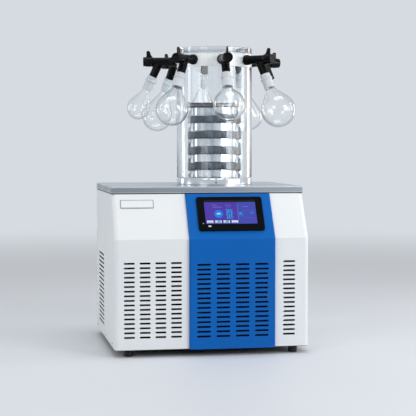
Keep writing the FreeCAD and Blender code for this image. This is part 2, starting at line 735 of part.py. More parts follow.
def valve_knob():
    """A plastic plug with a bent passage, a cap that reaches back over the sleeve, and a lever fin."""
    r = CHAMBER_RADIUS
    head = r + SLEEVE_LENGTH + 0.4
    end = head + KNOB_THICKNESS
    skirt = head - CAP_SKIRT
    outline = [
        (r + PLUG_START, 0),
        (r + PLUG_START, PLUG_RADIUS),
        (head, PLUG_RADIUS),
        (head, CAP_BORE),
        (skirt, CAP_BORE),
        (skirt, CAP_RADIUS - 0.6),
        (skirt + 1.5, CAP_RADIUS),
        (head + 3.5, CAP_RADIUS),
        (head + 4.5, KNOB_RADIUS),
        (end - 2, KNOB_RADIUS),
        (end, KNOB_RADIUS - 2),
        (end, 0),
    ]
    body = along_x(outline)
    fin_outline = [
        (skirt + 0.5, CAP_BORE + 0.6),
        (head + 3.4, CAP_BORE + 0.6),
        (head + 3.4, LEVER_HEIGHT - 3),
        (head + 1, LEVER_HEIGHT),
        (head - 6.5, LEVER_HEIGHT),
        (head - 9.5, LEVER_HEIGHT - 3),
        (head - 12.5, 23),
    ]
    fin = face_of([(x, -3, z) for x, z in fin_outline]).extrude(V(0, 6, 0))
    bore = rod(4.5, (r + PLUG_START - 1, 0, 0), (r + BRANCH_OUT, 0, 0))
    outlet = rod(4.5, (r + BRANCH_OUT, 0, 0), (r + BRANCH_OUT, 0, -PLUG_RADIUS - 2))
    vent = rod(2.5, (end - 4, 0, -7), (end + 5, 0, -7))
    return body.fuse(fin).cut([bore, outlet, vent]).removeSplitter()


def flask_adapter():
    """A white silicone cone between the valve's branch and the flask's neck, with a grip ring."""
    profile = [
        (ADAPTER_TOP, SLEEVE_RADIUS - 0.4),
        (ADAPTER_TOP, 15.6),
        (ADAPTER_TOP + 2, 16.2),
        (ADAPTER_TOP + 19, 16.6),
        (ADAPTER_TOP + 20.5, 19.0),
        (ADAPTER_TOP + 24.5, 19.0),
        (ADAPTER_TOP + 26, 17.0),
        (ADAPTER_BOTTOM, 17.6),
        (ADAPTER_BOTTOM, NECK_RADIUS),
        (NECK_TOP, NECK_RADIUS),
        (NECK_TOP, 8),
        (BRANCH_LENGTH, 8),
        (BRANCH_LENGTH, SLEEVE_RADIUS - 0.4),
    ]
    return down_branch(along_x(profile))


def flask(diameter, distance):
    """A pear-shaped round-bottomed flask: neck, tangent cone and ball, with walls of even glass."""

    def outline(shrink):
        radius = diameter / 2 - shrink
        neck = NECK_RADIUS - shrink
        run = NECK_BOTTOM - distance
        reach = math.hypot(run, neck)
        angle = math.atan2(neck, run) - math.acos(radius / reach)
        touch = V(distance + radius * math.cos(angle), 0, radius * math.sin(angle))
        crown = V(distance + radius * math.cos(angle / 2), 0, radius * math.sin(angle / 2))
        return V(NECK_TOP, 0, neck), V(NECK_BOTTOM, 0, neck), touch, crown, V(distance + radius, 0, 0)

    mouth, shoulder, touch, crown, bottom = outline(0)
    mouth_in, shoulder_in, touch_in, crown_in, bottom_in = outline(GLASS)
    edges = [
        Part.LineSegment(mouth, shoulder),
        Part.LineSegment(shoulder, touch),
        Part.Arc(touch, crown, bottom),
        Part.LineSegment(bottom, bottom_in),
        Part.Arc(bottom_in, crown_in, touch_in),
        Part.LineSegment(touch_in, shoulder_in),
        Part.LineSegment(shoulder_in, mouth_in),
        Part.LineSegment(mouth_in, mouth),
    ]
    face = Part.Face(Part.Wire([e.toShape() for e in edges]))
    return down_branch(face.revolve(ORIGIN, EAST, 360))


# Refrigeration, air and services


def compressor():
    """The sealed compressor can on its foot plate, with flat-ended pipe stubs on top."""
    x, y = COMPRESSOR_PLACE
    tall = COMPRESSOR_TOP - COMPRESSOR_BOTTOM
    can = Part.makeCylinder(COMPRESSOR_RADIUS, tall, V(x, y, COMPRESSOR_BOTTOM))
    can = can.makeFillet(30, [e for e in can.Edges if abs(e.Length - 2 * math.pi * COMPRESSOR_RADIUS) < 1])
    foot = box((x - 95, x + 95), (y - 60, y + 60), (COMPRESSOR_BOTTOM - 14, COMPRESSOR_BOTTOM - 11))
    stand = Part.makeCylinder(45, 18, V(x, y, COMPRESSOR_BOTTOM - 14))
    stubs = [rod(5, (x + dx, y, COMPRESSOR_TOP - 8), (x + dx, y, COMPRESSOR_TOP + 10)) for dx in (-30, 30)]
    holes = [rod(4, (x + dx, y + dy, 20), (x + dx, y + dy, 60)) for dx in (-83, 83) for dy in (-48, 48)]
    return can.fuse([foot, stand] + stubs).cut(holes).removeSplitter()


def compressor_grommets():
    """Four rubber mounts between the compressor's foot plate and the base pan."""
    x, y = COMPRESSOR_PLACE
    low = PAN_FLOOR
    top = COMPRESSOR_BOTTOM - 14
    profile = [(0, low), (11, low), (11, top), (3.9, top), (3.9, top + 3), (0, top + 3)]
    places = [turned(profile, x + dx, y + dy) for dx in (-83, 83) for dy in (-48, 48)]
    return Part.makeCompound(places)


def condenser():
    """A finned coil block behind the front slots, between two end plates that stand on the base pan."""
    wide, deep, high = CONDENSER_SIZE
    left = CHAMBER_X - wide / 2
    across = (CONDENSER_Y, CONDENSER_Y + deep)
    pieces = []
    for x in (left, left + wide - 2):
        pieces.append(box((x, x + 2), across, (PAN_FLOOR, CONDENSER_Z + high)))
    step = (wide - 10) / (FIN_COUNT - 1)
    for i in range(FIN_COUNT):
        x = left + 5 + i * step
        pieces.append(box((x - 0.4, x + 0.4), across, (CONDENSER_Z, CONDENSER_Z + high)))
    tubes = []
    for i in range(8):
        z = CONDENSER_Z + 14 + i * 27
        ends = [(x, CONDENSER_Y + deep / 2, z) for x in (left - 8, left + wide + 8)]
        tubes.append(rod(4.8, *ends))
    return pieces[0].fuse(pieces[1:] + tubes)


def fan_frame():
    """The fan's square shroud with its motor on four arms and the motor's shaft."""
    half = FAN_SIZE / 2
    shroud = round_slab((FAN_SIZE, FAN_SIZE, FAN_DEPTH), 8)
    shroud = shroud.cut(rod(FAN_RADIUS + 4, (0, 0, -1), (0, 0, FAN_DEPTH + 1)))
    arms = []
    for angle in (45, 135, 225, 315):
        arm = box((25, FAN_RADIUS + 8), (-5, 5), (FAN_DEPTH - 4, FAN_DEPTH))
        arm.rotate(ORIGIN, UP, angle)
        arms.append(arm)
    motor = rod(30, (0, 0, FAN_DEPTH - 4), (0, 0, FAN_DEPTH + 24))
    shaft = rod(4, (0, 0, 6), (0, 0, FAN_DEPTH))
    legs = [box((x - 8, x + 8), (half - 1, FAN_Z - PAN_FLOOR), (4, 10)) for x in (-80, 80)]
    return fan_place(shroud.fuse(arms + [motor, shaft] + legs).removeSplitter())


def fan_place(shape):
    """Turn a shape drawn along +Z so that it runs towards the back at the fan; its +Y points down."""
    placed = shape.copy()
    placed.rotate(ORIGIN, EAST, -90)
    placed.translate(V(CHAMBER_X, FAN_Y, FAN_Z))
    return placed


def fan_blades():
    """The fan's hub and pitched blades, bored to run on the shaft."""
    hub = rod(26, (0, 0, 4), (0, 0, 18))
    blades = []
    for i in range(BLADE_COUNT):
        blade = box((20, FAN_RADIUS), (-17, 17), (-0.8, 0.8))
        blade.rotate(ORIGIN, EAST, 28)
        blade.translate(V(0, 0, 11))
        blade.rotate(ORIGIN, UP, i * 360 / BLADE_COUNT)
        blades.append(blade)
    bore = rod(4 + RUNNING_GAP, (0, 0, 5.5), (0, 0, 30))
    return fan_place(hub.fuse(blades).cut(bore).removeSplitter())


def refrigerant_lines():
    """Three copper lines: compressor to condenser, condenser to trap, and trap to compressor."""
    x, y = COMPRESSOR_PLACE
    top = COMPRESSOR_TOP + 10
    tube_y = CONDENSER_Y + CONDENSER_SIZE[1] / 2
    right = CHAMBER_X + CONDENSER_SIZE[0] / 2 + 8
    left = CHAMBER_X - CONDENSER_SIZE[0] / 2 - 8
    high = CONDENSER_Z + 14 + 7 * 27
    low = CONDENSER_Z + 14
    discharge = [(x + 30, y, top), (x + 30, y, top + 22), (right + 25, y, top + 22), (right + 25, y, high)]
    discharge += [(right + 25, tube_y, high), (right, tube_y, high)]
    liquid = [(left, tube_y, low), (left - 25, tube_y, low), (left - 25, CHAMBER_Y, low)]
    liquid += [(left - 25, CHAMBER_Y, 292), (CHAMBER_X - 90, CHAMBER_Y, 292)]
    liquid += [(CHAMBER_X - 90, CHAMBER_Y, FOAM_BOTTOM)]
    suction = [(x - 30, y, top), (x - 30, y, FOAM_BOTTOM)]
    pipes = [
        bent_pipe(discharge, 4, 9),
        bent_pipe(liquid, 4, 9),
        rod(5, suction[0], suction[1]),
    ]
    return Part.makeCompound(pipes)


def control_box():
    """The closed electronics box on the base pan behind the left cover."""
    case = box((-285, -150), (-150, 60), (PAN_FLOOR, 230))
    upright = [e for e in case.Edges if abs(e.Vertexes[0].Z - e.Vertexes[1].Z) > 50]
    inside = box((-285 + SHEET, -150 - SHEET), (-150 + SHEET, 60 - SHEET), (PAN_FLOOR + SHEET, 230 - SHEET))
    return case.makeFillet(4, upright).cut(inside)


def vacuum_port():
    """The vacuum pipe from the trap's side to a small flange behind the rear panel."""
    end = VACUUM_END
    profile = [
        (CHAMBER_Y + 80, VACUUM_RADIUS),
        (end - 9, VACUUM_RADIUS),
        (end - 4, 20),
        (end, 20),
        (end, VACUUM_BORE),
        (CHAMBER_Y + 80, VACUUM_BORE),
    ]
    pipe = along_x(profile)
    pipe.rotate(ORIGIN, UP, 90)
    pipe.translate(V(CHAMBER_X, 0, VACUUM_HEIGHT))
    return pipe.cut(rod(TRAP_RADIUS, (CHAMBER_X, CHAMBER_Y, 300), (CHAMBER_X, CHAMBER_Y, 420)))


def drain_pipe():
    """The drain from the trap's bottom to the valve on the right side."""
    route = [
        (CHAMBER_X, CHAMBER_Y, TRAP_BOTTOM),
        (CHAMBER_X, CHAMBER_Y, DRAIN_HEIGHT),
        (CHAMBER_X, DRAIN_Y, DRAIN_HEIGHT),
        (SIDE + 2, DRAIN_Y, DRAIN_HEIGHT),
    ]
    return bent_pipe(route, DRAIN_RADIUS, 16)


def drain_valve():
    """A small brass ball valve with a hose spout, screwed on the drain's end."""
    x = SIDE + 2
    block = box((x, x + 24), (DRAIN_Y - 12, DRAIN_Y + 12), (DRAIN_HEIGHT - 12, DRAIN_HEIGHT + 12))
    block = block.makeFillet(3, [e for e in block.Edges if abs(e.Vertexes[0].X - e.Vertexes[1].X) > 5])
    nozzle = [(x + 22, 0), (x + 22, 6.5), (x + 25, 6.5), (x + 25, 5), (x + 42, 5), (x + 43, 4), (x + 43, 0)]
    spout = along_x(nozzle)
    spout.translate(V(0, DRAIN_Y, DRAIN_HEIGHT))
    bore = rod(3, (x - 1, DRAIN_Y, DRAIN_HEIGHT), (x + 50, DRAIN_Y, DRAIN_HEIGHT))
    stem = rod(3 + RUNNING_GAP, (x + 12, DRAIN_Y, DRAIN_HEIGHT + 6), (x + 12, DRAIN_Y, DRAIN_HEIGHT + 20))
    return block.fuse(spout).cut([bore, stem]).removeSplitter()


def drain_lever():
    """The drain valve's stem and flat handle, drawn in its closed place."""
    x = SIDE + 14
    top = DRAIN_HEIGHT + 12
    stem = rod(3, (x, DRAIN_Y, top - 5), (x, DRAIN_Y, top + 3))
    handle = box((x - 5, x + 5), (DRAIN_Y - 44, DRAIN_Y + 7), (top + 1, top + 4))
    ends = [e for e in handle.Edges if abs(e.Vertexes[0].Z - e.Vertexes[1].Z) > 1]
    return stem.fuse(handle.makeFillet(4.5, ends)).removeSplitter()


def power_inlet():
    """The appliance inlet with its three pins, and beside it the seat of the power switch."""
    x, z = INLET_PLACE
    flange = box((x - 31, x + 31), (REAR, REAR + 2.5), (z - 18, z + 18))
    ends = [e for e in flange.Edges if abs(e.Vertexes[0].Y - e.Vertexes[1].Y) > 1]
    flange = flange.makeFillet(4, ends)
    body = box((x - 27, x + 27), (REAR - 30, REAR + 1), (z - 14, z + 14))
    cavity = box((x - 1, x + 23), (REAR - 18, REAR + 5), (z - 9, z + 9))
    pins = []
    for dx, dz in ((4, -2), (11, 2), (18, -2)):
        pins.append(box((x + dx - 1, x + dx + 1), (REAR - 18.5, REAR - 3), (z + dz - 2, z + dz + 2)))
    seat = rod(11, (x - 22, REAR - 3, z), (x - 7, REAR - 3, z))
    pivot = rod(1.5 + RUNNING_GAP, (x - 24, REAR - 3, z), (x - 5, REAR - 3, z))
    return flange.fuse(body).cut([cavity, seat, pivot]).fuse(pins).removeSplitter()


def power_rocker():
    """The switch's rocker: a round-backed key with two raised ends on a cross pin, drawn off."""
    x, z = INLET_PLACE
    drum = rod(10, (x - 21.6, REAR - 3, z), (x - 7.4, REAR - 3, z))
    notch = rod(26, (x - 25, REAR + 30, z), (x - 5, REAR + 30, z))
    pin = rod(1.5, (x - 23.6, REAR - 3, z), (x - 5.4, REAR - 3, z))
    rocker = drum.cut(notch).fuse(pin).removeSplitter()
    rocker.rotate(V(x, REAR - 3, z), EAST, -ROCKER_TILT)
    return rocker


# All pieces

shell = casing_shell()
nodes["base_pan"] = base_pan()
nodes["left_cover"] = left_cover(shell)
nodes["right_cover"] = right_cover(shell)
nodes["front_panel"] = front_panel()
nodes["rear_panel"] = rear_panel()
nodes["worktop"] = worktop()
nodes["worktop_strip"] = worktop_strip()
nodes["feet"] = feet()
nodes["casing_screws"] = casing_screws()
nodes["screen_bezel"] = screen_bezel()
nodes["screen_glass"] = screen_glass()
nodes["name_plate"] = name_plate()

nodes["cold_trap"] = cold_trap()
nodes["evaporator_coil"] = evaporator_coil()
nodes["trap_insulation"] = trap_insulation()
nodes["chamber_collar"] = chamber_collar()
nodes["base_seal"] = ring(CHAMBER_RADIUS - 0.5, CHAMBER_RADIUS - CHAMBER_WALL - 1, COLLAR_TOP, TUBE_BOTTOM)
nodes["chamber_tube"] = ring(CHAMBER_RADIUS, CHAMBER_RADIUS - CHAMBER_WALL, TUBE_BOTTOM, TUBE_TOP)
nodes["port_ring"] = port_ring()
nodes["port_nipples"] = port_nipples()
nodes["lid_seal"] = ring(CHAMBER_RADIUS - 2, CHAMBER_RADIUS - 10, PORT_RING_TOP, LID_BOTTOM)
nodes["chamber_lid"] = ring(CHAMBER_RADIUS, 0, LID_BOTTOM, LID_TOP, chamfer=1.5)
nodes["rack_frame"] = rack_frame()
nodes["rack_shelves"] = rack_shelves()
nodes["rack_nuts"] = rack_nuts()
for level in range(TRAY_COUNT):
    nodes[f"tray_{level + 1}"] = tray(level)

body, knob, adapter = valve_body(), valve_knob(), flask_adapter()
nodes["valve_bodies"] = Part.makeCompound([at_port(body, n) for n in PORTS])
nodes["flask_adapters"] = Part.makeCompound([at_port(adapter, n) for n in FLASKS])
for number in PORTS:
    nodes[f"valve_knob_{number}"] = at_port(knob, number)
for number, (diameter, distance) in FLASKS.items():
    nodes[f"flask_{number}"] = at_port(flask(diameter, distance), number)

nodes["compressor"] = compressor()
nodes["compressor_grommets"] = compressor_grommets()
nodes["condenser"] = condenser()
nodes["fan_frame"] = fan_frame()
nodes["fan_blades"] = fan_blades()
nodes["refrigerant_lines"] = refrigerant_lines()
nodes["control_box"] = control_box()
nodes["vacuum_port"] = vacuum_port()
nodes["drain_pipe"] = drain_pipe()
nodes["drain_valve"] = drain_valve()
nodes["drain_lever"] = drain_lever()
nodes["power_inlet"] = power_inlet()
nodes["power_rocker"] = power_rocker()

# Move the origin to the bottom centre of the whole object's box, and write one file for each piece

whole = Part.makeCompound(list(nodes.values()))
bounds = whole.optimalBoundingBox(False)
shift = V(-(bounds.XMin + bounds.XMax) / 2, -(bounds.YMin + bounds.YMax) / 2, -bounds.ZMin)
os.makedirs("parts", exist_ok=True)
for name, shape in nodes.items():
    shape.translate(shift)
    shape.exportStep(f"parts/{name}.step")
print("origin moved by", round(shift.x, 4), round(shift.y, 4), round(shift.z, 4), "nodes", len(nodes))
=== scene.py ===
import math

import bpy
import numpy as np
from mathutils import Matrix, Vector


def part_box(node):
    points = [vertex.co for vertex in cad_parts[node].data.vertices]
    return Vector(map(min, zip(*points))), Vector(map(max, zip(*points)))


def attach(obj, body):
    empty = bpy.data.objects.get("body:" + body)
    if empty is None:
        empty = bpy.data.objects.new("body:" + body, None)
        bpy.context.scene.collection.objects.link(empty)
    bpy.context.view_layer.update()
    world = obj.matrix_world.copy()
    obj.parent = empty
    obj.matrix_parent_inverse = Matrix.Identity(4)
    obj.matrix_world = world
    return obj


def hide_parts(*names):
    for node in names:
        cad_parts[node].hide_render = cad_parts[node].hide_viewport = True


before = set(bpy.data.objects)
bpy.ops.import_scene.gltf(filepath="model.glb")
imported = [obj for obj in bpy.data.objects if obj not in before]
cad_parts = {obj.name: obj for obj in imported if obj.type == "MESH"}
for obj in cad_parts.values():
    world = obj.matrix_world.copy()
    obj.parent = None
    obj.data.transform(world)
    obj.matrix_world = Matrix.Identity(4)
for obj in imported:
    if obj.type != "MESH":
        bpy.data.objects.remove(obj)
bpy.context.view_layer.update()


# Studio. A long lens stands a little left of the machine's middle, at the height of its clear chamber,
# and looks slightly down. Its place is measured from the worktop's middle, at floor level.
LENS = 112.8
CAMERA_PLACE = (-0.7437, -4.2993, 0.6634)
CAMERA_TURN = 0.181
CAMERA_DIP = 0.050
VIEW_END = 200.0


def middle_of(node):
    """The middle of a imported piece's box."""
    low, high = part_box(node)
    return (Vector(low) + Vector(high)) / 2


def foot_of(node):
    """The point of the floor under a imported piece's middle."""
    return middle_of(node) * Vector((1, 1, 0))


scene = bpy.context.scene
scene.view_settings.view_transform = "Standard"
camera = bpy.data.objects.new("camera", bpy.data.cameras.new("camera"))
camera.data.lens = LENS
camera.data.clip_end = VIEW_END
camera.location = foot_of("worktop") + Vector(CAMERA_PLACE)
camera.rotation_euler = (math.pi / 2 - CAMERA_DIP, 0, -CAMERA_TURN)
scene.collection.objects.link(camera)
scene.camera = camera


# Softboxes, by bearing in degrees from the front towards the right, distance, height, size, watts and
# colour. The reflectors light no paint: they show as a bright panel in glass, rubber and steel and, from
# behind, draw lines down the chamber's sides. The side lamps aren't seen through glass.
SOFTBOXES = {
    "front_left": (-42, 3.9, 1.9, (1.6, 1.6), 24.0, (1.0, 0.99, 0.97)),
    "front_right": (36, 3.8, 1.7, (1.3, 1.9), 53.0, (0.98, 0.99, 1.0)),
    "right_side": (84, 2.9, 1.5, (0.9, 1.7), 24.0, (1.0, 1.0, 1.0)),
    "left_side": (-92, 3.0, 1.45, (0.5, 1.6), 15.0, (0.94, 0.97, 1.0)),
    "overhead": (12, 0.4, 4.4, (3.0, 2.0), 58.0, (1.0, 1.0, 1.0)),
    "broad_reflector": (52, 3.2, 1.0, (2.2, 1.3), 26.0, (1.0, 1.0, 1.0)),
    "warm_strip": (119, 2.4, 0.8, (0.45, 1.1), 8.0, (1.0, 0.74, 0.54)),
    "cool_strip": (-122, 2.5, 0.8, (0.30, 1.1), 5.0, (0.94, 0.97, 1.0)),
}
REFLECTORS = ("broad_reflector", "warm_strip", "cool_strip")
SIDE_LAMPS = ("right_side", "left_side")


def softbox(name, bearing, distance, height, size, watts, colour):
    """A rectangular lamp that faces the chamber and isn't seen by the camera itself."""
    lamp = bpy.data.lights.new(name, "AREA")
    lamp.shape = "RECTANGLE"
    lamp.size, lamp.size_y = size
    lamp.energy = watts
    lamp.color = colour
    holder = bpy.data.objects.new(name, lamp)
    turn = math.radians(bearing)
    chamber = middle_of("chamber_tube")
    holder.location = (
        chamber.x + distance * math.sin(turn), chamber.y - distance * math.cos(turn), height,
    )
    holder.rotation_euler = (chamber - holder.location).to_track_quat("-Z", "Y").to_euler()
    holder.visible_camera = False
    holder.visible_diffuse = name not in REFLECTORS
    holder.visible_transmission = name not in SIDE_LAMPS
    scene.collection.objects.link(holder)


for name, settings in SOFTBOXES.items():
    softbox(name, *settings)


# Room. It is plain and pale where the camera, metal and glass see it, and dimmer as a light.
ROOM_DIM = 0.40


def srgb(red, green, blue):
    """A shader colour from red, green and blue as 0 to 255 in sRGB."""
    value = np.array([red, green, blue]) / 255
    linear = np.where(value <= 0.04045, value / 12.92, ((value + 0.055) / 1.055) ** 2.4)
    return (*linear.tolist(), 1.0)


def add(tree, kind, inputs=None, **settings):
    """Add one shader node. An input given as another node's output is linked, and any other is set."""
    made = tree.nodes.new("ShaderNode" + kind)
    for key, value in settings.items():
        setattr(made, key, value)
    for key, value in (inputs or {}).items():
        if isinstance(value, bpy.types.NodeSocket):
            tree.links.new(value, made.inputs[key])
        else:
            made.inputs[key].default_value = value
    return made


def maths(tree, operation, *values, kind="Math", out=0):
    """One step of arithmetic on numbers, or on vectors where kind is VectorMath."""
    return add(tree, kind, dict(enumerate(values)), operation=operation).outputs[out]


def seen_rays(tree):
    """1 for the rays by which the camera, metal and glass see the room, and 0 for light on the object."""
    path = add(tree, "LightPath").outputs
    seen = maths(tree, "MAXIMUM", path["Is Camera Ray"], path["Is Glossy Ray"])
    return maths(tree, "MAXIMUM", seen, path["Is Transmission Ray"])


room_colour = srgb(214, 219, 225)
scene.world = bpy.data.worlds.new("room")
scene.world.use_nodes = True
tree = scene.world.node_tree
tree.nodes.clear()
dim = add(tree, "Background", {"Color": (1, 1, 1, 1), "Strength": ROOM_DIM})
seen = add(tree, "Background", {"Color": room_colour, "Strength": 1.0})
both = add(tree, "MixShader", {0: seen_rays(tree), 1: dim.outputs[0], 2: seen.outputs[0]})
add(tree, "OutputWorld", {"Surface": both.outputs[0]})


# Floor. A wide, pale, matt disc takes the machine's shadow and fades into the room's own colour far away
# from it.
FLOOR_RADIUS = 40.0
FLOOR_FADE = (1.6, 6.0)


def noise(tree, spot, scale, detail):
    """Cloudy noise from 0 to 1, with this many clouds a metre and layers of finer ones."""
    return add(tree, "TexNoise", {"Vector": spot, "Scale": scale, "Detail": detail}).outputs["Fac"]


def ranged(tree, value, least, most, start=0.0, end=1.0, **settings):
    """A value carried from the range least to most over to the range start to end, and held within it."""
    return add(
        tree, "MapRange", {0: value, 1: least, 2: most, 3: start, 4: end}, **settings
    ).outputs[0]


def mixed(tree, share, one, other, **settings):
    """The colour that lies this share of the way from one to the other."""
    inputs = {0: share, 6: one, 7: other}
    return add(tree, "Mix", inputs, data_type="RGBA", **settings).outputs[2]


def blank_material(name):
    """A new material with its empty node tree and the coordinates that its patterns are laid on."""
    material = bpy.data.materials.new(name)
    material.use_nodes = True
    tree = material.node_tree
    tree.nodes.clear()
    return material, tree, add(tree, "TexCoord").outputs["Object"]


def once_round(count):
    """Even angles once round, from 0."""
    return np.linspace(0, 2 * np.pi, count, endpoint=False)


def skin(rows, joined=False, ends=(True, True)):
    """Points and faces through rows of points, each row a closed loop. Quads join each row to the next, and
    joined also joins the last row to the first. Otherwise a closed end gets a pole at its row's middle."""
    count, around = rows.shape[:2]
    step = np.arange(around)
    after = (step + 1) % around
    lower = np.arange(count if joined else count - 1)[:, None] * around
    upper = (lower + around) % (count * around)
    corners = [lower + step, lower + after, upper + after, upper + step]
    faces = np.stack(corners, -1).reshape(-1, 4).tolist()
    points = rows.reshape(-1, 3)
    poles = [] if joined else [(0, after, step), (count - 1, step, after)]
    for (row, one, two), closed in zip(poles, ends):
        if closed:
            pole = np.full(around, len(points))
            faces += np.stack([row * around + one, row * around + two, pole], -1).tolist()
            points = np.vstack([points, rows[row].mean(0)])
    return points, faces


def piece(name, skins, material, crease=32):
    """One object made of skins, smooth except where faces meet more sharply than the crease angle."""
    points, faces = [], []
    for part_points, part_faces in skins:
        shift = sum(len(p) for p in points)
        faces += [[corner + shift for corner in face] for face in part_faces]
        points.append(part_points)
    mesh = bpy.data.meshes.new(name)
    mesh.from_pydata(np.vstack(points).tolist(), [], faces)
    mesh.shade_smooth()
    mesh.set_sharp_from_angle(angle=math.radians(crease))
    mesh.materials.append(material)
    made = bpy.data.objects.new(name, mesh)
    scene.collection.objects.link(made)
    return made


def turned(profile, around=128):
    """Rows of a turned shape: each (radius, height) of the profile swung once round the Z axis."""
    radius, height = np.asarray(profile, float).T[:, :, None]
    angle = once_round(around)
    rows = np.broadcast_arrays(radius * np.cos(angle), radius * np.sin(angle), height)
    return np.stack(rows, -1)


floor_material, tree, spot = blank_material("pale_floor")
far = maths(tree, "LENGTH", spot, kind="VectorMath", out="Value")
far = ranged(tree, far, *FLOOR_FADE, interpolation_type="SMOOTHSTEP")
far = maths(tree, "MULTIPLY", far, seen_rays(tree))
tint = mixed(tree, noise(tree, spot, 2.0, 3.0), srgb(214, 218, 224), srgb(218, 222, 227))
matt = add(tree, "BsdfPrincipled", {"Base Color": tint, "Roughness": 0.55})
glow = add(tree, "Emission", {"Color": room_colour, "Strength": 1.0})
both = add(tree, "MixShader", {0: far, 1: matt.outputs[0], 2: glow.outputs[0]})
add(tree, "OutputMaterial", {"Surface": both.outputs[0]})

disc = turned([(FLOOR_RADIUS, 0), (FLOOR_RADIUS / 8, 0), (FLOOR_RADIUS / 80, 0)])
floor = piece("floor", [skin(disc, ends=(False, True))], floor_material)


# White covers and rear panel. Steel sheet, punched and bent, then powder coated: a cool white with a
# fine orange-peel skin. Zinc-plated pan-head screws hold them.
def shader_group(name, inputs, outputs):
    """An empty shader node group with named inputs and outputs, given as {name: kind}."""
    group = bpy.data.node_groups.new(name, "ShaderNodeTree")
    for label, kind in inputs.items():
        group.interface.new_socket(label, in_out="INPUT", socket_type="NodeSocket" + kind)
    for label, kind in outputs.items():
        group.interface.new_socket(label, in_out="OUTPUT", socket_type="NodeSocket" + kind)
    return group, group.nodes.new("NodeGroupInput").outputs, group.nodes.new("NodeGroupOutput").inputs


# Worked surface, used by nearly every finish: slow drifts between two colours, and one grain that gives
# both the height of the skin and the small changes of its gloss.
worked, given, put = shader_group(
    "worked_surface",
    {
        "Vector": "Vector", "Colour": "Color", "Drift Colour": "Color", "Drift Scale": "Float",
        "Grain Scale": "Float", "Smooth": "Float", "Rough": "Float",
    },
    {"Colour": "Color", "Roughness": "Float", "Height": "Float"},
)
drift = ranged(worked, noise(worked, given["Vector"], given["Drift Scale"], 4.0), 0.35, 0.65)
grain = noise(worked, given["Vector"], given["Grain Scale"], 2.0)
gloss = ranged(worked, maths(worked, "ADD", grain, drift), 0.3, 1.6, given["Smooth"], given["Rough"])
worked.links.new(mixed(worked, drift, given["Colour"], given["Drift Colour"]), put["Colour"])
worked.links.new(gloss, put["Roughness"])
worked.links.new(grain, put["Height"])


def worked_finish(
    name, colour, drift, gloss, grain, depth, stretch=(1, 1, 1), drift_scale=6.0, edge=0.0, **plain
):
    """A finish on the worked surface. Colours are sRGB, gloss is (least, most) roughness, grain is in
    cycles a metre and depth in metres; a stretch below 1 draws the pattern out along that axis; edge is the
    radius in metres by which sharp edges are eased; plain sets the shader's own sockets."""
    material, tree, spot = blank_material(name)
    surface = add(tree, "Group", {
        "Vector": add(tree, "Mapping", {"Vector": spot, "Scale": stretch}).outputs[0],
        "Colour": srgb(*colour), "Drift Colour": srgb(*drift), "Drift Scale": drift_scale,
        "Grain Scale": grain, "Smooth": gloss[0], "Rough": gloss[1],
    }, node_tree=worked).outputs
    relief = {"Height": surface["Height"], "Distance": depth, "Strength": 1.0}
    if edge:
        relief["Normal"] = add(tree, "Bevel", {"Radius": edge}, samples=6).outputs[0]
    shader = {"Base Color": surface["Colour"], "Roughness": surface["Roughness"]}
    shader["Normal"] = add(tree, "Bump", relief).outputs[0]
    shader |= {key.replace("_", " "): value for key, value in plain.items()}
    shader = add(tree, "BsdfPrincipled", shader)
    add(tree, "OutputMaterial", {"Surface": shader.outputs[0]})
    return material


def dress(material, *names):
    """Give CAD pieces their finish, in the objects' own material slots."""
    for name in names:
        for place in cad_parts[name].material_slots:
            place.material = material


white_paint = worked_finish(
    "white_powder_coat", (230, 233, 235), (226, 230, 233), (0.40, 0.54), 850.0, 0.00002, drift_scale=3.0,
    Specular_IOR_Level=0.35,
)
dress(white_paint, "left_cover", "right_cover", "rear_panel")
screw_zinc = worked_finish(
    "screw_zinc", (196, 199, 202), (172, 177, 184), (0.22, 0.38), 400.0, 0.00003, Metallic=1.0,
)
dress(screw_zinc, "casing_screws")


# Shade mat. A sheet of black convoluted foam, glued to the rear panel's inner face behind the grille: a
# dark sheet put there as painted shade, so the grille looks dark inside; air passes through its open cells.
MAT_THICK = 0.007
MAT_WAVE = 0.002
MAT_PITCH = 0.030
MAT_SIDE_INSETS = (0.104, 0.022)
MAT_END_INSETS = (0.032, 0.190)
MAT_GRID = (76, 45)
PANEL_SHEET = 0.0020


def mat():
    """A slab whose inner face is waved by the product of two sines, one across and one up. Each loop runs up
    the waved face and back down the flat one, which lies against the panel."""
    low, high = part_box("rear_panel")
    across = np.linspace(low.x + MAT_SIDE_INSETS[0], high.x - MAT_SIDE_INSETS[1], MAT_GRID[0])[:, None]
    up = np.linspace(low.z + MAT_END_INSETS[0], high.z - MAT_END_INSETS[1], MAT_GRID[1])
    wave = np.sin(across * 2 * np.pi / MAT_PITCH) * np.sin(up * 2 * np.pi / MAT_PITCH)
    back = high.y - PANEL_SHEET
    face = np.stack(np.broadcast_arrays(across, back - MAT_THICK + MAT_WAVE * wave, up), -1)
    flat = np.stack(np.broadcast_arrays(across, back, up), -1)
    return skin(np.concatenate([face, flat[:, ::-1]], axis=1))


# Near-black foam: painted shade behind the rear grille.
mat_foam = worked_finish(
    "shade_mat_foam", (16, 16, 17), (26, 26, 28), (0.85, 0.97), 900.0, 0.0006, drift_scale=30.0,
    Specular_IOR_Level=0.1,
)
shade_sheet = piece("shade_mat", [mat()], mat_foam)
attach(shade_sheet, "cabinet")


# Blue centre panel. A deeper folded pan of the same sheet that stands proud of the covers, in a
# saturated blue powder coat with a slightly glossier skin.
blue_paint = worked_finish(
    "blue_powder_coat", (3, 97, 181), (3, 92, 173), (0.42, 0.54), 850.0, 0.00002, drift_scale=3.0,
    Specular_IOR_Level=0.12,
)
dress(blue_paint, "front_panel")
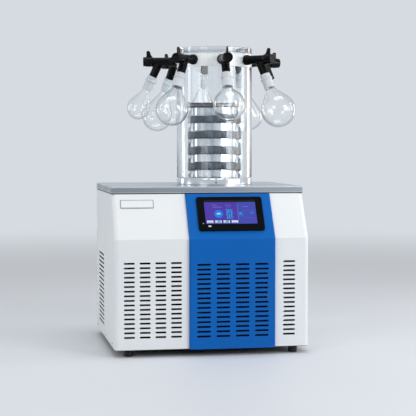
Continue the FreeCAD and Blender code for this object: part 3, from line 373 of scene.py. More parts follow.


# Base pan and feet. The pan is sheet with upturned edges in a matt black coat, which also serves as painted
# shade seen through the lower slots; four moulded rubber feet are screwed under its corners.
# Black coat: the pan's own, and painted shade inside the cabinet behind the slots.
pan_coat = worked_finish(
    "black_pan_coat_and_shade", (24, 25, 27), (34, 35, 38), (0.44, 0.60), 500.0, 0.00003, drift_scale=10.0,
    Specular_IOR_Level=0.25,
)
dress(pan_coat, "base_pan")
rubber = worked_finish(
    "moulded_rubber", (14, 14, 15), (20, 20, 22), (0.30, 0.46), 600.0, 0.00003, drift_scale=25.0,
    Specular_IOR_Level=0.25,
)
dress(rubber, "feet", "compressor_grommets")


# Worktop. Stainless sheet with its edges turned down, linished from left to right, on a strip of black
# foam that keeps it off the casing. The turned-down face between the two bends is painted darker, as
# painted shade, and the bends above and below it keep the plain colour as lighter lines, painted highlights.
BEND_BAND = 0.0034
HEM_BAND = 0.0022
BAND_FADE = 0.0008


def open_colour(material):
    """A finish's node tree, the output that colours its shader and the input which that output feeds."""
    tree = material.node_tree
    shader = next(node for node in tree.nodes if node.bl_idname == "ShaderNodeBsdfPrincipled")
    base = shader.inputs["Base Color"]
    return tree, base.links[0].from_socket, base


def linished_steel():
    """Worked surface drawn out from left to right, with its colour lowered as painted shade in the band
    between the upper bend and the hem."""
    material = worked_finish(
        "linished_steel", (200, 204, 208), (176, 182, 188), (0.24, 0.46), 260.0, 0.00004,
        stretch=(0.03, 1.0, 1.0), drift_scale=9.0, edge=0.0016, Metallic=1.0,
    )
    tree, plain, base = open_colour(material)
    low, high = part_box("worktop")
    bottom, top = low.z + HEM_BAND, high.z - BEND_BAND
    height = add(tree, "TexCoord").outputs["Object"]
    height = add(tree, "SeparateXYZ", {0: height}).outputs["Z"]
    away = maths(tree, "ABSOLUTE", maths(tree, "SUBTRACT", height, (bottom + top) / 2))
    half = (top - bottom) / 2
    # Painted shade: the turned-down face is darkened; the bends keep the plain, lighter colour as painted
    # highlights.
    shade_band = ranged(tree, away, half - BAND_FADE, half + BAND_FADE, 1.0, 0.0)
    painted_shade_colour = mixed(tree, 1.0, plain, (0.58, 0.60, 0.62, 1), blend_type="MULTIPLY")
    tree.links.new(mixed(tree, shade_band, plain, painted_shade_colour), base)
    return material


dress(linished_steel(), "worktop")
strip_foam = worked_finish(
    "black_strip", (14, 14, 15), (22, 22, 24), (0.75, 0.92), 700.0, 0.0002, drift_scale=40.0,
)
dress(strip_foam, "worktop_strip")


# Control panel. A glossy black moulded frame on the blue panel's slope holds a touch display, whose glass
# is masked black along its top; a status light and a pale sensor window sit in the lower left corner.
SLOPE_RUN = 0.085
SLOPE_DROP = 0.137
SLOPE_TURN = math.atan2(SLOPE_DROP, SLOPE_RUN)
GLASS_MASK = 0.0075
DISPLAY_WIDE = 0.164
DISPLAY_HIGH = 0.085 - GLASS_MASK

black_plastic = worked_finish(
    "black_moulding", (6, 8, 9), (8, 11, 13), (0.14, 0.26), 1100.0, 0.000008, drift_scale=18.0,
    Specular_IOR_Level=0.06,
)
dress(black_plastic, "screen_bezel")

patch, given, put = shader_group(
    "patch", {"Vector": "Vector", "Centre": "Vector", "Half": "Vector"}, {"Mask": "Float"}
)
reach = maths(patch, "SUBTRACT", given["Vector"], given["Centre"], kind="VectorMath")
reach = maths(patch, "ABSOLUTE", reach, kind="VectorMath")
reach = maths(patch, "SUBTRACT", given["Half"], reach, kind="VectorMath")
reach = add(patch, "SeparateXYZ", {0: reach}).outputs
inside = maths(patch, "GREATER_THAN", maths(patch, "MINIMUM", reach["X"], reach["Y"]), 0.0)
patch.links.new(inside, put["Mask"])


def laid_flat(tree, spot, node):
    """Coordinates turned to lie flat on the slope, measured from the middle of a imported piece."""
    laid = {"Vector": spot, "Location": middle_of(node), "Rotation": (SLOPE_TURN, 0, 0)}
    return add(tree, "Mapping", laid, vector_type="TEXTURE").outputs[0]


def patch_mask(tree, spot, half, centre=(0, 0)):
    """1 inside a rectangle of these half sizes round a centre, and 0 outside it."""
    inputs = {"Vector": spot, "Centre": (*centre, 0), "Half": (*half, 1)}
    return add(tree, "Group", inputs, node_tree=patch).outputs["Mask"]


# Display picture, in shares of the display's width and height from its lower left corner: plain panels,
# lines and buttons, each (centre, size, colour). The gauge's discs are (radius in metres, colour).
PICTURE_PATCHES = [
    ((0.82, 0.50), (0.36, 1.0), (66, 74, 178)),
    ((0.20, 0.87), (0.10, 0.022), (112, 118, 214)),
    ((0.25, 0.77), (0.17, 0.022), (128, 122, 214)),
    ((0.46, 0.86), (0.12, 0.022), (104, 112, 214)),
    ((0.47, 0.77), (0.09, 0.018), (104, 108, 208)),
    ((0.80, 0.78), (0.09, 0.022), (120, 130, 220)),
    ((0.86, 0.60), (0.20, 0.014), (84, 92, 204)),
    ((0.86, 0.27), (0.20, 0.014), (84, 92, 204)),
    ((0.642, 0.53), (0.006, 0.76), (138, 132, 206)),
    ((0.700, 0.44), (0.095, 0.20), (30, 108, 206)),
    ((0.690, 0.47), (0.040, 0.07), (70, 160, 222)),
    ((0.915, 0.50), (0.065, 0.07), (34, 128, 222)),
]
BUTTON_COLUMNS = (0.085, 0.245, 0.405, 0.565)
BUTTON = ((0.0, 0.10), (0.125, 0.115), (214, 228, 240))
BUTTON_MARK = ((0.012, 0.115), (0.060, 0.075), (40, 190, 170))
BUTTON_CAPTION = ((0.0, 0.062), (0.085, 0.02), (112, 122, 190))
MARKED_BUTTONS = (1, 2)
GAUGE_CENTRE = (0.265, 0.455)
GAUGE_DISCS = [(0.0142, (18, 118, 226)), (0.0112, (26, 134, 234))]
GAUGE_WINDOW = ((0.265, 0.465), (0.068, 0.062), (196, 226, 246))
DOT_FIELD = ((0.478, 0.455), (0.125, 0.46), (44, 78, 196))
DOT_COLOUR = (70, 176, 224)


def display_picture():
    """The lit picture: flat patches, a round gauge and a grid of small dots over a deep violet ground,
    behind glossy glass."""
    material, tree, spot = blank_material("lit_display")
    flat = laid_flat(tree, spot, "screen_glass")
    flat = maths(tree, "ADD", flat, (0, GLASS_MASK / 2, 0), kind="VectorMath")
    shares = (1 / DISPLAY_WIDE, 1 / DISPLAY_HIGH, 0)
    share = maths(tree, "MULTIPLY_ADD", flat, shares, (0.5, 0.5, 0), kind="VectorMath")
    picture = mixed(tree, noise(tree, share, 1.6, 1.0), srgb(68, 48, 158), srgb(84, 62, 184))

    def rectangle(centre, size):
        return patch_mask(tree, share, (size[0] / 2, size[1] / 2), centre)

    def disc(centre, radius):
        middle = ((centre[0] - 0.5) * DISPLAY_WIDE, (centre[1] - 0.5) * DISPLAY_HIGH, 0)
        level = maths(tree, "MULTIPLY", flat, (1, 1, 0), kind="VectorMath")
        away = maths(tree, "DISTANCE", level, middle, kind="VectorMath", out="Value")
        return maths(tree, "LESS_THAN", away, radius)

    painted = [(rectangle(centre, size), colour) for centre, size, colour in PICTURE_PATCHES]
    for number, column in enumerate(BUTTON_COLUMNS):
        marks = [BUTTON_MARK] if number in MARKED_BUTTONS else []
        for (across, up), size, colour in [BUTTON, *marks, BUTTON_CAPTION]:
            painted.append((rectangle((column + across, up), size), colour))
    painted += [(disc(GAUGE_CENTRE, radius), colour) for radius, colour in GAUGE_DISCS]
    painted += [(rectangle(centre, size), colour) for centre, size, colour in (GAUGE_WINDOW, DOT_FIELD)]
    dots = add(tree, "TexVoronoi", {"Vector": share, "Scale": 26.0, "Randomness": 0.45}).outputs["Distance"]
    dots = maths(tree, "LESS_THAN", dots, 0.40)
    painted.append((maths(tree, "MULTIPLY", painted[-1][0], dots), DOT_COLOUR))
    for mask, colour in painted:
        picture = mixed(tree, mask, picture, srgb(*colour))
    picture = mixed(tree, rectangle((0.5, 0.5), (1.0, 1.0)), (0, 0, 0, 1), picture)
    smears = ranged(tree, noise(tree, spot, 22.0, 3.0), 0.0, 1.0, 0.06, 0.16)
    glass = {"Base Color": srgb(8, 8, 10), "Roughness": smears, "Emission Color": picture}
    glass |= {"Emission Strength": 0.92, "Specular IOR Level": 0.25}
    shader = add(tree, "BsdfPrincipled", glass)
    add(tree, "OutputMaterial", {"Surface": shader.outputs[0]})
    return material


dress(display_picture(), "screen_glass")

LIGHT_PLACE = (-0.0905, -0.041)
WINDOW_PLACE = (-0.0705, -0.0505)
WINDOW_STRETCH = (2.0, 1.15, 1.0)
LENS_PROFILE = [(0.0024, 0.0004), (0.0026, 0.0009), (0.0022, 0.0014), (0.0012, 0.0018), (0.0004, 0.0019)]


def laid_on_slope(rows, across, up):
    """Rows drawn flat, with z as height, laid on the display's plane at a place measured from its middle."""
    lean = np.array([
        [1, 0, 0],
        [0, math.cos(SLOPE_TURN), -math.sin(SLOPE_TURN)],
        [0, math.sin(SLOPE_TURN), math.cos(SLOPE_TURN)],
    ])
    return (rows + [across, up, 0]) @ lean.T + np.array(middle_of("screen_glass"))


lens_grey = worked_finish(
    "status_lens", (112, 118, 126), (88, 94, 104), (0.10, 0.22), 900.0, 0.00001, drift_scale=400.0,
)
window_white = worked_finish(
    "sensor_window", (196, 212, 226), (176, 194, 212), (0.12, 0.26), 900.0, 0.00001, drift_scale=300.0,
)
lens = turned(LENS_PROFILE, 24)
marks = [
    ("status_light", lens, LIGHT_PLACE, lens_grey),
    ("sensor_window", lens * WINDOW_STRETCH, WINDOW_PLACE, window_white),
]
for name, rows, place, material in marks:
    mark = piece(name, [skin(laid_on_slope(rows, *place))], material)
    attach(mark, "cabinet")


# Name plate. A bare satin plate with a bright raised rim, stuck on the left cover's slope.
PLATE_HALF = (0.0525, 0.0150)
PLATE_RIM = 0.0026


def plate_finish():
    """Fine-sanded white enamel inside a bright metal rim, told apart by the distance from the edge."""
    material, tree, spot = blank_material("bare_name_plate")
    flat = laid_flat(tree, spot, "name_plate")
    enamel = patch_mask(tree, flat, (PLATE_HALF[0] - PLATE_RIM, PLATE_HALF[1] - PLATE_RIM))
    sanding = add(tree, "Mapping", {"Vector": flat, "Scale": (0.04, 1, 1)}).outputs[0]
    sanding = noise(tree, sanding, 2500.0, 2.0)
    white = mixed(tree, sanding, srgb(222, 226, 230), srgb(234, 237, 240))
    metal = maths(tree, "SUBTRACT", 1.0, enamel)
    step = maths(tree, "ADD", metal, sanding)
    shader = add(tree, "BsdfPrincipled", {
        "Base Color": mixed(tree, enamel, srgb(150, 154, 160), white),
        "Roughness": ranged(tree, sanding, 0.0, 1.0, 0.24, 0.40),
        "Metallic": metal,
        "Normal": add(tree, "Bump", {"Height": step, "Distance": 0.0001, "Strength": 0.6}).outputs[0],
    })
    add(tree, "OutputMaterial", {"Surface": shader.outputs[0]})
    return material


dress(plate_finish(), "name_plate")


# Cold trap. A deep-drawn steel bucket hangs in the worktop with the copper evaporator wound round it,
# all inside a jacket of poured foam.
drawn_steel = worked_finish(
    "drawn_steel", (186, 190, 194), (168, 174, 181), (0.20, 0.36), 180.0, 0.00003,
    stretch=(1.0, 1.0, 0.05), Metallic=1.0,
)
dress(drawn_steel, "cold_trap", "vacuum_port", "drain_lever")
copper = worked_finish(
    "copper_tube", (196, 128, 96), (158, 96, 72), (0.22, 0.44), 300.0, 0.00003, drift_scale=30.0,
    Metallic=1.0,
)
dress(copper, "evaporator_coil", "refrigerant_lines", "drain_pipe")
foam = worked_finish(
    "poured_foam", (226, 206, 150), (206, 182, 124), (0.80, 0.95), 240.0, 0.0008, drift_scale=18.0,
)
dress(foam, "trap_insulation")


# Chamber collar and seals. A polished steel ring stands on the worktop round the trap's mouth; clear
# silicone seals lie between it and the tube, and under the lid.
polished = worked_finish(
    "polished_steel", (222, 225, 228), (208, 213, 219), (0.06, 0.16), 220.0, 0.000012,
    stretch=(1.0, 1.0, 0.12), drift_scale=14.0, Metallic=1.0,
)
dress(polished, "chamber_collar", "port_nipples", "rack_nuts")
seal_silicone = worked_finish(
    "seal_silicone", (206, 210, 212), (186, 192, 196), (0.30, 0.48), 500.0, 0.00003, drift_scale=30.0,
)
dress(seal_silicone, "base_seal", "lid_seal")


# Bleed bush. A small black rubber ring lines the bleed hole low in the front of the collar.
BUSH_BEARING = math.radians(-8.0)
BUSH_HEIGHT = 0.008
BUSH_PROFILE = [
    (0.0012, -0.0045), (0.0012, 0.0006), (0.0017, 0.0012), (0.0024, 0.0010), (0.0028, 0.0002), (0.0017, 0.0),
    (0.0017, -0.0045),
]


def radius_of(node):
    """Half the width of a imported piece."""
    low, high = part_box(node)
    return (high.x - low.x) / 2


def bush():
    """A flanged tube, turned about the hole's axis: the profile's height runs outwards from the collar."""
    rows = turned(BUSH_PROFILE, 24)
    outward = np.array([math.sin(BUSH_BEARING), -math.cos(BUSH_BEARING), 0])
    sideways = np.array([math.cos(BUSH_BEARING), math.sin(BUSH_BEARING), 0])
    spread = rows[..., :1] * sideways + rows[..., 1:2] * [0, 0, 1] + rows[..., 2:] * outward
    centre = np.array([*middle_of("chamber_collar").xy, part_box("chamber_collar")[0].z + BUSH_HEIGHT])
    return skin(spread + centre + outward * radius_of("chamber_collar"), joined=True)


bleed_bush = piece("bleed_bush", [bush()], rubber)
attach(bleed_bush, "cabinet")


# Chamber tube. A clear cast acrylic cylinder with flame-polished ends, pressed down on the collar's seal
# by nothing but the vacuum inside it.
EDGE = 0.0012
TUBE_WALL = 0.008


def bent(enter, corner, leave, share):
    """Points at these shares along the quadratic curve that sets out from enter towards a corner and comes
    in to leave from it."""
    return (1 - share) ** 2 * enter + 2 * share * (1 - share) * corner + share**2 * leave


def softened(corners, bite, steps=4, closed=True):
    """An outline with its corners rounded: each turns into a curve that starts and ends one bite away from
    it along its two sides. An outline that isn't closed begins and ends one bite inside its end corners."""
    corners = np.asarray(corners, float)
    before = np.roll(corners, 1, 0) - corners
    after = np.roll(corners, -1, 0) - corners
    bite = np.broadcast_to(bite, len(corners))[:, None]
    enter = corners + before / np.linalg.norm(before, axis=1, keepdims=True) * bite
    leave = corners + after / np.linalg.norm(after, axis=1, keepdims=True) * bite
    share = np.linspace(0, 1, steps + 1)[:, None]
    outline = bent(enter[:, None], corners[:, None], leave[:, None], share).reshape(-1, 2)
    return outline if closed else outline[steps:-steps]


# Handled surface, used by every clear finish: smears of a duller gloss where hands have been, and slow
# waves in the surface itself.
handled, given, put = shader_group(
    "handled_surface",
    {"Vector": "Vector", "Smear Scale": "Float", "Smooth": "Float", "Rough": "Float"},
    {"Roughness": "Float", "Height": "Float"},
)
smears = noise(handled, given["Vector"], given["Smear Scale"], 4.0)
smears = ranged(handled, smears, 0.4, 0.8, given["Smooth"], given["Rough"])
handled.links.new(smears, put["Roughness"])
wave_scale = maths(handled, "MULTIPLY", given["Smear Scale"], 2.5)
handled.links.new(noise(handled, given["Vector"], wave_scale, 0.0), put["Height"])


def clear_finish(name, tint, rim, smears, ior, depth, smear_scale, clear=1.0):
    """A clear solid that lets lamps through. Where it is seen edge on it takes a darker rim colour, partly
    for the longer way through it and partly as painted shade that outlines it. Its gloss drifts between two
    roughnesses with handling, and slow waves of a given depth in metres bend what is seen through it."""
    material, tree, spot = blank_material(name)
    handling = {"Vector": spot, "Smear Scale": smear_scale, "Smooth": smears[0], "Rough": smears[1]}
    surface = add(tree, "Group", handling, node_tree=handled).outputs
    waves = {"Height": surface["Height"], "Distance": depth, "Strength": 1.0}
    # Painted shade at the rims: the tint moves toward the rim colour where the surface is seen edge on.
    edge_on_shade = maths(tree, "POWER", add(tree, "LayerWeight", {"Blend": 0.5}).outputs["Facing"], 3.0)
    solid = add(tree, "BsdfPrincipled", {
        "Base Color": mixed(tree, edge_on_shade, srgb(*tint), srgb(*rim)), "Roughness": surface["Roughness"],
        "Normal": add(tree, "Bump", waves).outputs[0], "IOR": ior, "Transmission Weight": clear,
    })
    open_way = add(tree, "BsdfTransparent", {"Color": srgb(*tint)})
    lamp_ray = add(tree, "LightPath").outputs["Is Shadow Ray"]
    both = add(tree, "MixShader", {0: lamp_ray, 1: solid.outputs[0], 2: open_way.outputs[0]})
    add(tree, "OutputMaterial", {"Surface": both.outputs[0]})
    return material


def oblong(inner, outer, low, high):
    """The corners of a ring's section."""
    return [(inner, low), (outer, low), (outer, high), (inner, high)]


def swung(section, node, around=128):
    """A closed ring: a section of (radius, height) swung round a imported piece's upright axis."""
    return skin(turned(section, around) + np.array(foot_of(node)), joined=True)


def chamber_wall(node, wall):
    """A ring of the chamber stack: its wall's section, rounded at the corners, swung round the axis."""
    low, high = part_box(node)
    outer = radius_of(node)
    return swung(softened(oblong(outer - wall, outer, low.z, high.z), EDGE), node, around=192)


clear_acrylic = clear_finish(
    "clear_acrylic", (250, 252, 253), (150, 166, 182), (0.0, 0.02), 1.49, 0.00002, 9.0,
)
tube = piece("clear_tube", [chamber_wall("chamber_tube", TUBE_WALL)], clear_acrylic)
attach(tube, "cabinet")
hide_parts("chamber_tube")


# Port ring. A thick ring of milky acrylic glued to the top of the tube, with eight steel nipples in it.
RING_WALL = 0.012
milky_acrylic = clear_finish(
    "milky_acrylic", (254, 255, 255), (222, 231, 239), (0.22, 0.34), 1.49, 0.00004, 12.0, clear=0.66,
)
port_ring = piece("milky_port_ring", [chamber_wall("port_ring", RING_WALL)], milky_acrylic)
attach(port_ring, "cabinet")
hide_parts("port_ring")


# Lid. A round plate of clear acrylic with polished, broken edges on a thin clear silicone seal; the
# vacuum holds it down.
LID_MIDDLE = 0.004
LID_BITES = (0.0004, 0.0022, 0.0022, 0.0004)

low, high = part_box("chamber_lid")
lid_section = oblong(LID_MIDDLE, radius_of("chamber_lid"), low.z, high.z)
lid_rows = turned(softened(lid_section, LID_BITES, closed=False), 192)
lid_acrylic = clear_finish(
    "lid_acrylic", (232, 238, 243), (178, 190, 200), (0.0, 0.03), 1.49, 0.00002, 9.0, clear=0.95,
)
lid = piece("clear_lid", [skin(lid_rows + np.array(foot_of("chamber_lid")))], lid_acrylic)
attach(lid, "cabinet")
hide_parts("chamber_lid")


# Drying rack. Three polished posts welded between two plates carry five skirted shelves, clamped to the
# posts by nuts above and below their lugs.
shelf_steel = worked_finish(
    "shelf_steel", (240, 242, 244), (184, 190, 196), (0.07, 0.20), 320.0, 0.00002,
    stretch=(1.0, 1.0, 0.03), drift_scale=42.0, Metallic=1.0,
)
dress(shelf_steel, "rack_shelves")
frame_steel = worked_finish(
    "frame_steel", (112, 119, 127), (82, 89, 97), (0.12, 0.28), 320.0, 0.00002, drift_scale=16.0,
    Metallic=1.0,
)
dress(frame_steel, "rack_frame")


# Rack bumpers. Black silicone rings: two along the top plate's rim, above and below it, which keep it off
# the chamber's wall, and a thin one round the feet of the posts, under the lowest shelf.
TOP_PLATE_RADIUS = 0.088
TOP_PLATE_DROPS = (0.013, 0.008)
RING_OVERHANG = 0.0004
RING_HIGH = 0.0055
RING_BITE = 0.0018
TOP_RING_WIDE = 0.006
FOOT_RING_WIDE = 0.0013
FOOT_RING_REACH = (-0.0070, 0.0004)

posts_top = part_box("rack_frame")[1].z
plate_low, plate_high = (posts_top - drop for drop in TOP_PLATE_DROPS)
shelf_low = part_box("rack_shelves")[0].z
BUMPERS = [
    (TOP_RING_WIDE, plate_high, plate_high + RING_HIGH),
    (TOP_RING_WIDE, plate_low - RING_HIGH, plate_low),
    (FOOT_RING_WIDE, shelf_low + FOOT_RING_REACH[0], shelf_low + FOOT_RING_REACH[1]),
]


def bumper(wide, bottom, top):
    """A ring with its edges well rounded, swung round the chamber's axis. Its outside stands a little proud
    of the posts and the top plate."""
    outer = TOP_PLATE_RADIUS + RING_OVERHANG
    section = oblong(outer - wide, outer, bottom, top)
    return swung(softened(section, min(RING_BITE, wide / 3)), "chamber_tube")


bumpers = piece("rack_bumpers", [bumper(*size) for size in BUMPERS], rubber)
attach(bumpers, "cabinet")


# Trays. Shallow pressed aluminium dishes, dark hard-anodised, one on each of the four lower shelves. Their
# deep colour also stands as painted shade in the gaps between the shelves, and a darker, uneven band of
# painted shade lies round the foot of each, where it stands on its shelf.
TRAYS = range(1, 5)
TRAY_PITCH = 0.0503
FOOT_BAND = 0.0042

# Foot shade, used by the trays and their hoops: painted shade, the colour darkened in a band at the foot
# of each tray, whose upper edge is ragged.
foot_shade, given, put = shader_group(
    "foot_shade", {"Vector": "Vector", "Colour": "Color"}, {"Colour": "Color"}
)
height = add(foot_shade, "SeparateXYZ", {0: given["Vector"]}).outputs["Z"]
height = maths(foot_shade, "SUBTRACT", height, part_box("tray_1")[0].z)
height = maths(foot_shade, "MODULO", height, TRAY_PITCH)
teeth = add(foot_shade, "Mapping", {"Vector": given["Vector"], "Scale": (1, 1, 0)}).outputs[0]
teeth = ranged(foot_shade, noise(foot_shade, teeth, 150.0, 1.0), 0.35, 0.65, 0.2 * FOOT_BAND, FOOT_BAND)
# Painted shade at the foot of each tray, where it meets the shelf.
foot_shaded = maths(foot_shade, "LESS_THAN", height, teeth)
foot_shade.links.new(mixed(foot_shade, foot_shaded, given["Colour"], srgb(14, 16, 19)), put["Colour"])


def anodised_finish(name, deep, reflection_pale):
    """Worked surface drawn upwards between a deep tone and paler vertical streaks, painted reflections,
    with the painted foot shade over it.
    """
    material = worked_finish(
        name, deep, reflection_pale, (0.24, 0.38), 500.0, 0.00002,
        stretch=(1.0, 1.0, 0.03), drift_scale=48.0, Metallic=0.85,
    )
    tree, plain, base = open_colour(material)
    spot = add(tree, "TexCoord").outputs["Object"]
    wear = add(tree, "Group", {"Vector": spot, "Colour": plain}, node_tree=foot_shade)
    tree.links.new(wear.outputs["Colour"], base)
    return material


# Deep grey as the anodising and as painted shade in the gaps; the paler vertical streaks are painted
# reflections.
tray_anodised = anodised_finish("tray_anodised", (34, 41, 48), (92, 101, 110))
dress(tray_anodised, *(f"tray_{number}" for number in TRAYS))


# Tray hoops. Thin anodised strips sprung round the outside of the rack's posts, one level with each tray,
# which keep the trays from sliding out. Their lower edges are cut in arches that clear the posts' nuts.
HOOP_INNER = 0.08705
HOOP_OUTER = 0.0886
HOOP_HIGH = 0.0255
HOOP_DROP = 0.0030
HOOP_BITE = 0.0002
ARCHES = 32
ARCH_HIGH = 0.0037
ARCH_STEPS = 12
POST_TURN = math.radians(-8.0)


def hoop(number):
    """A strip's section swung round the chamber's axis. The lower half of the section is raised by the root
    of the cosine's size, in even arches. The posts stand a quarter of a turn apart, so each of them has an
    arch's crown over its nut."""
    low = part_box(f"tray_{number}")[0].z - HOOP_DROP
    section = softened(oblong(HOOP_INNER, HOOP_OUTER, low, low + HOOP_HIGH), HOOP_BITE, steps=2)
    points, faces = swung(section, "chamber_tube", around=ARCHES * ARCH_STEPS)
    turn = once_round(ARCHES * ARCH_STEPS) - POST_TURN
    arches = ARCH_HIGH * np.sqrt(np.abs(np.cos(turn * ARCHES / 2)))
    lower = section[:, 1] < low + HOOP_HIGH / 2
    points[:, 2] += (lower[:, None] * arches).ravel()
    return points, faces


# Near black, also as painted shade in the gaps between the shelves; the paler vertical streaks are painted
# reflections.
hoop_anodised = anodised_finish("hoop_anodised", (10, 14, 18), (78, 90, 102))
hoops = piece("tray_hoops", [hoop(number) for number in TRAYS], hoop_anodised)
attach(hoops, "cabinet")


# Manifold valves. Moulded black rubber: a sleeve that grips the nipple with a swollen end, and a branch
# that leans outwards and down to the flask, run into the sleeve with a soft web.
PORT_BEARINGS = (0, 42, 102, 142, 180, 218, 258, 318)
PORTS = range(1, len(PORT_BEARINGS) + 1)
BRANCH_OUT = 0.057
BRANCH_LEAN = math.radians(25.0)
BRANCH_LENGTH = 0.062
SLEEVE_START = 0.0012
SLEEVE_RADIUS = 0.014
SLEEVE_LENGTH = 0.098
EVEN_RADIUS = SLEEVE_RADIUS - 0.0003
NIPPLE_RADIUS = 0.009
NIPPLE_REACH = 0.032
THROAT = 0.006
PLUG_RADIUS = 0.008
PLUG_START = 0.044
PLUG_FIT = 0.0001
PLUG_GAP = 0.001
PASSAGE = 0.007
PASSAGE_START = 0.010
FOOT_END = 0.050
WEB = 0.006

wall_out = radius_of("port_ring")
port_middle = np.array([*middle_of("port_ring").xy, middle_of("port_nipples").z])
branch_start = np.array([wall_out + BRANCH_OUT, 0, 0])
DOWN = np.array([math.sin(BRANCH_LEAN), 0, -math.cos(BRANCH_LEAN)])
ACROSS = np.array([math.cos(BRANCH_LEAN), 0, math.sin(BRANCH_LEAN)])
SIDEWAYS = np.array([0, 1.0, 0])


def port_turn(number):
    """The turn about the chamber's axis from X to a port, counted from 1 in front."""
    turn = math.radians(PORT_BEARINGS[number - 1] - 90)
    return np.array([[math.cos(turn), -math.sin(turn), 0], [math.sin(turn), math.cos(turn), 0], [0, 0, 1]])


def at_ports(part, numbers=PORTS):
    """The skin of a part drawn outwards along X from the chamber's axis, once at each of these ports."""
    points, faces = part
    return [(points @ port_turn(number).T + port_middle, faces) for number in numbers]


def outwards(profile, around=48):
    """Rows of a shape turned about the X axis, from (radius, distance along X) points."""
    return np.roll(turned(profile, around), 1, axis=-1)


def down_branch(profile, around=48):
    """Rows of a shape turned about the branch's axis, from (radius, distance down the branch) points."""
    rows = turned(profile, around)
    return rows[..., :1] * -SIDEWAYS + rows[..., 1:2] * -ACROSS + rows[..., 2:] * DOWN + branch_start


def sleeve():
    """Section: swollen lip at the wall, even tube, and the stepped bore back through it."""
    lip, even, bore = SLEEVE_RADIUS, EVEN_RADIUS, PLUG_RADIUS + PLUG_FIT
    section = [
        (lip, SLEEVE_START), (lip + 0.0026, 0.004), (lip + 0.0024, 0.014), (lip, 0.023), (even, 0.050),
        (even, SLEEVE_LENGTH), (bore, SLEEVE_LENGTH), (bore, PLUG_START - PLUG_GAP),
        (THROAT, PLUG_START - PLUG_GAP), (THROAT, NIPPLE_REACH), (NIPPLE_RADIUS, NIPPLE_REACH),
        (NIPPLE_RADIUS, SLEEVE_START),
    ]
    return skin(outwards(softened(section, 0.0009) + [0, wall_out]), joined=True)


def branch():
    """Each line of the branch runs straight up until it meets the sleeve's cylinder. Over the last bit it
    bows outwards by the web's width, most where the branch stands square to the sleeve."""
    turn = once_round(48)
    level = np.sqrt(np.clip(EVEN_RADIUS**2 - (EVEN_RADIUS * np.sin(turn)) ** 2, 0, None))
    fall = np.linspace(0, 1, 7)[:, None]
    bow = WEB * (1 - fall) ** 2.2 * np.cos(turn) ** 2
    meet = (level + (EVEN_RADIUS + bow) * np.cos(turn) * math.sin(BRANCH_LEAN)) / math.cos(BRANCH_LEAN)
    foot = np.stack([EVEN_RADIUS + bow, meet - 0.001 + fall * 1.6 * WEB], -1)
    outer = EVEN_RADIUS - 0.0005
    lip = [(outer, FOOT_END), (outer, BRANCH_LENGTH), (PASSAGE, BRANCH_LENGTH), (PASSAGE, PASSAGE_START)]
    lip = softened(lip, 0.0008, closed=False)
    lip = np.broadcast_to(lip[:, None], (len(lip), len(turn), 2))
    shape = np.concatenate([foot, lip])
    ring = shape[..., :1] * (np.cos(turn)[:, None] * ACROSS + np.sin(turn)[:, None] * -SIDEWAYS)
    return skin(ring + shape[..., 1:] * DOWN + branch_start, joined=True)


valve_rubber = worked_finish(
    "valve_rubber", (7, 7, 8), (10, 10, 11), (0.18, 0.32), 700.0, 0.00003, drift_scale=40.0,
    Specular_IOR_Level=0.09,
)
valves = piece("rubber_valves", at_ports(sleeve()) + at_ports(branch()), valve_rubber)
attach(valves, "cabinet")
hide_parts("valve_bodies")


# Valve knobs. Each is one black moulding: a plug that fills the sleeve's bore, a round cap that reaches
# back over the sleeve's end, and an upright lever fin that shows which way the valve is turned.
HEAD_RADIUS = 0.0155
HEAD_THICK = 0.013
HEAD_GAP = 0.0004
DISH = 0.0014
CAP_REACH = 0.018
CAP_BORE = 0.0144
CAP_RADIUS = 0.0166
FIN_THICK = 0.0064
FIN_HEIGHTS = (
    0.0130, 0.0165, 0.0190, 0.0225, 0.0260, 0.0295, 0.0320, 0.0338, 0.0351, 0.0358, 0.0360,
)
FIN_TIP = 0.0310
head_start = wall_out + SLEEVE_LENGTH + HEAD_GAP


def knob_head():
    """Turned plug and cap: the cap's skirt runs back over the sleeve, its rim is rounded and its face is
    dished round a small boss."""
    skirt, end = head_start - CAP_REACH, head_start + HEAD_THICK
    section = [
        (0.0005, wall_out + PLUG_START), (PLUG_RADIUS, wall_out + PLUG_START), (PLUG_RADIUS, head_start),
        (CAP_BORE, head_start), (CAP_BORE, skirt), (CAP_RADIUS, skirt), (CAP_RADIUS, head_start + 0.0035),
        (HEAD_RADIUS, head_start + 0.0048), (HEAD_RADIUS, end), (HEAD_RADIUS - 0.0035, end),
        (HEAD_RADIUS - 0.0045, end - DISH), (0.0045, end - DISH), (0.0038, end - 0.0004),
        (0.0005, end - 0.0004),
    ]
    return skin(outwards(softened(section, 0.0005, closed=False)))


def squared(wave):
    """A cosine or sine with its flanks filled out, which squares up the ellipse that it draws."""
    return np.sign(wave) * np.abs(wave) ** 0.45


def knob_fin():
    """Rounded blades stacked upwards from inside the cap: each blade is a squared ellipse in plan. Its
    length along the valve shrinks from the cap's skirt to a narrow tip that rounds off at the top, and its
    thickness eases off with height."""
    height = np.array(FIN_HEIGHTS)[:, None]
    near = np.interp(height, [0.013, 0.0165, 0.023, 0.033], [-0.0160, -0.0165, -0.0120, -0.0092])
    far = np.interp(height, [0.013, 0.0170, 0.023, 0.033], [0.0034, 0.0034, 0.0026, 0.0034])
    tip = np.sqrt(np.clip(1 - (np.clip(height - FIN_TIP, 0, None) / 0.00502) ** 2, 0.004, 1))
    turn = once_round(40)
    x = head_start + (near + far) / 2 + (far - near) / 2 * tip * squared(np.cos(turn))
    y = FIN_THICK / 2 * (1 - 0.25 * height / FIN_HEIGHTS[-1]) * tip * squared(np.sin(turn))
    return skin(np.stack(np.broadcast_arrays(x, y, height), -1))


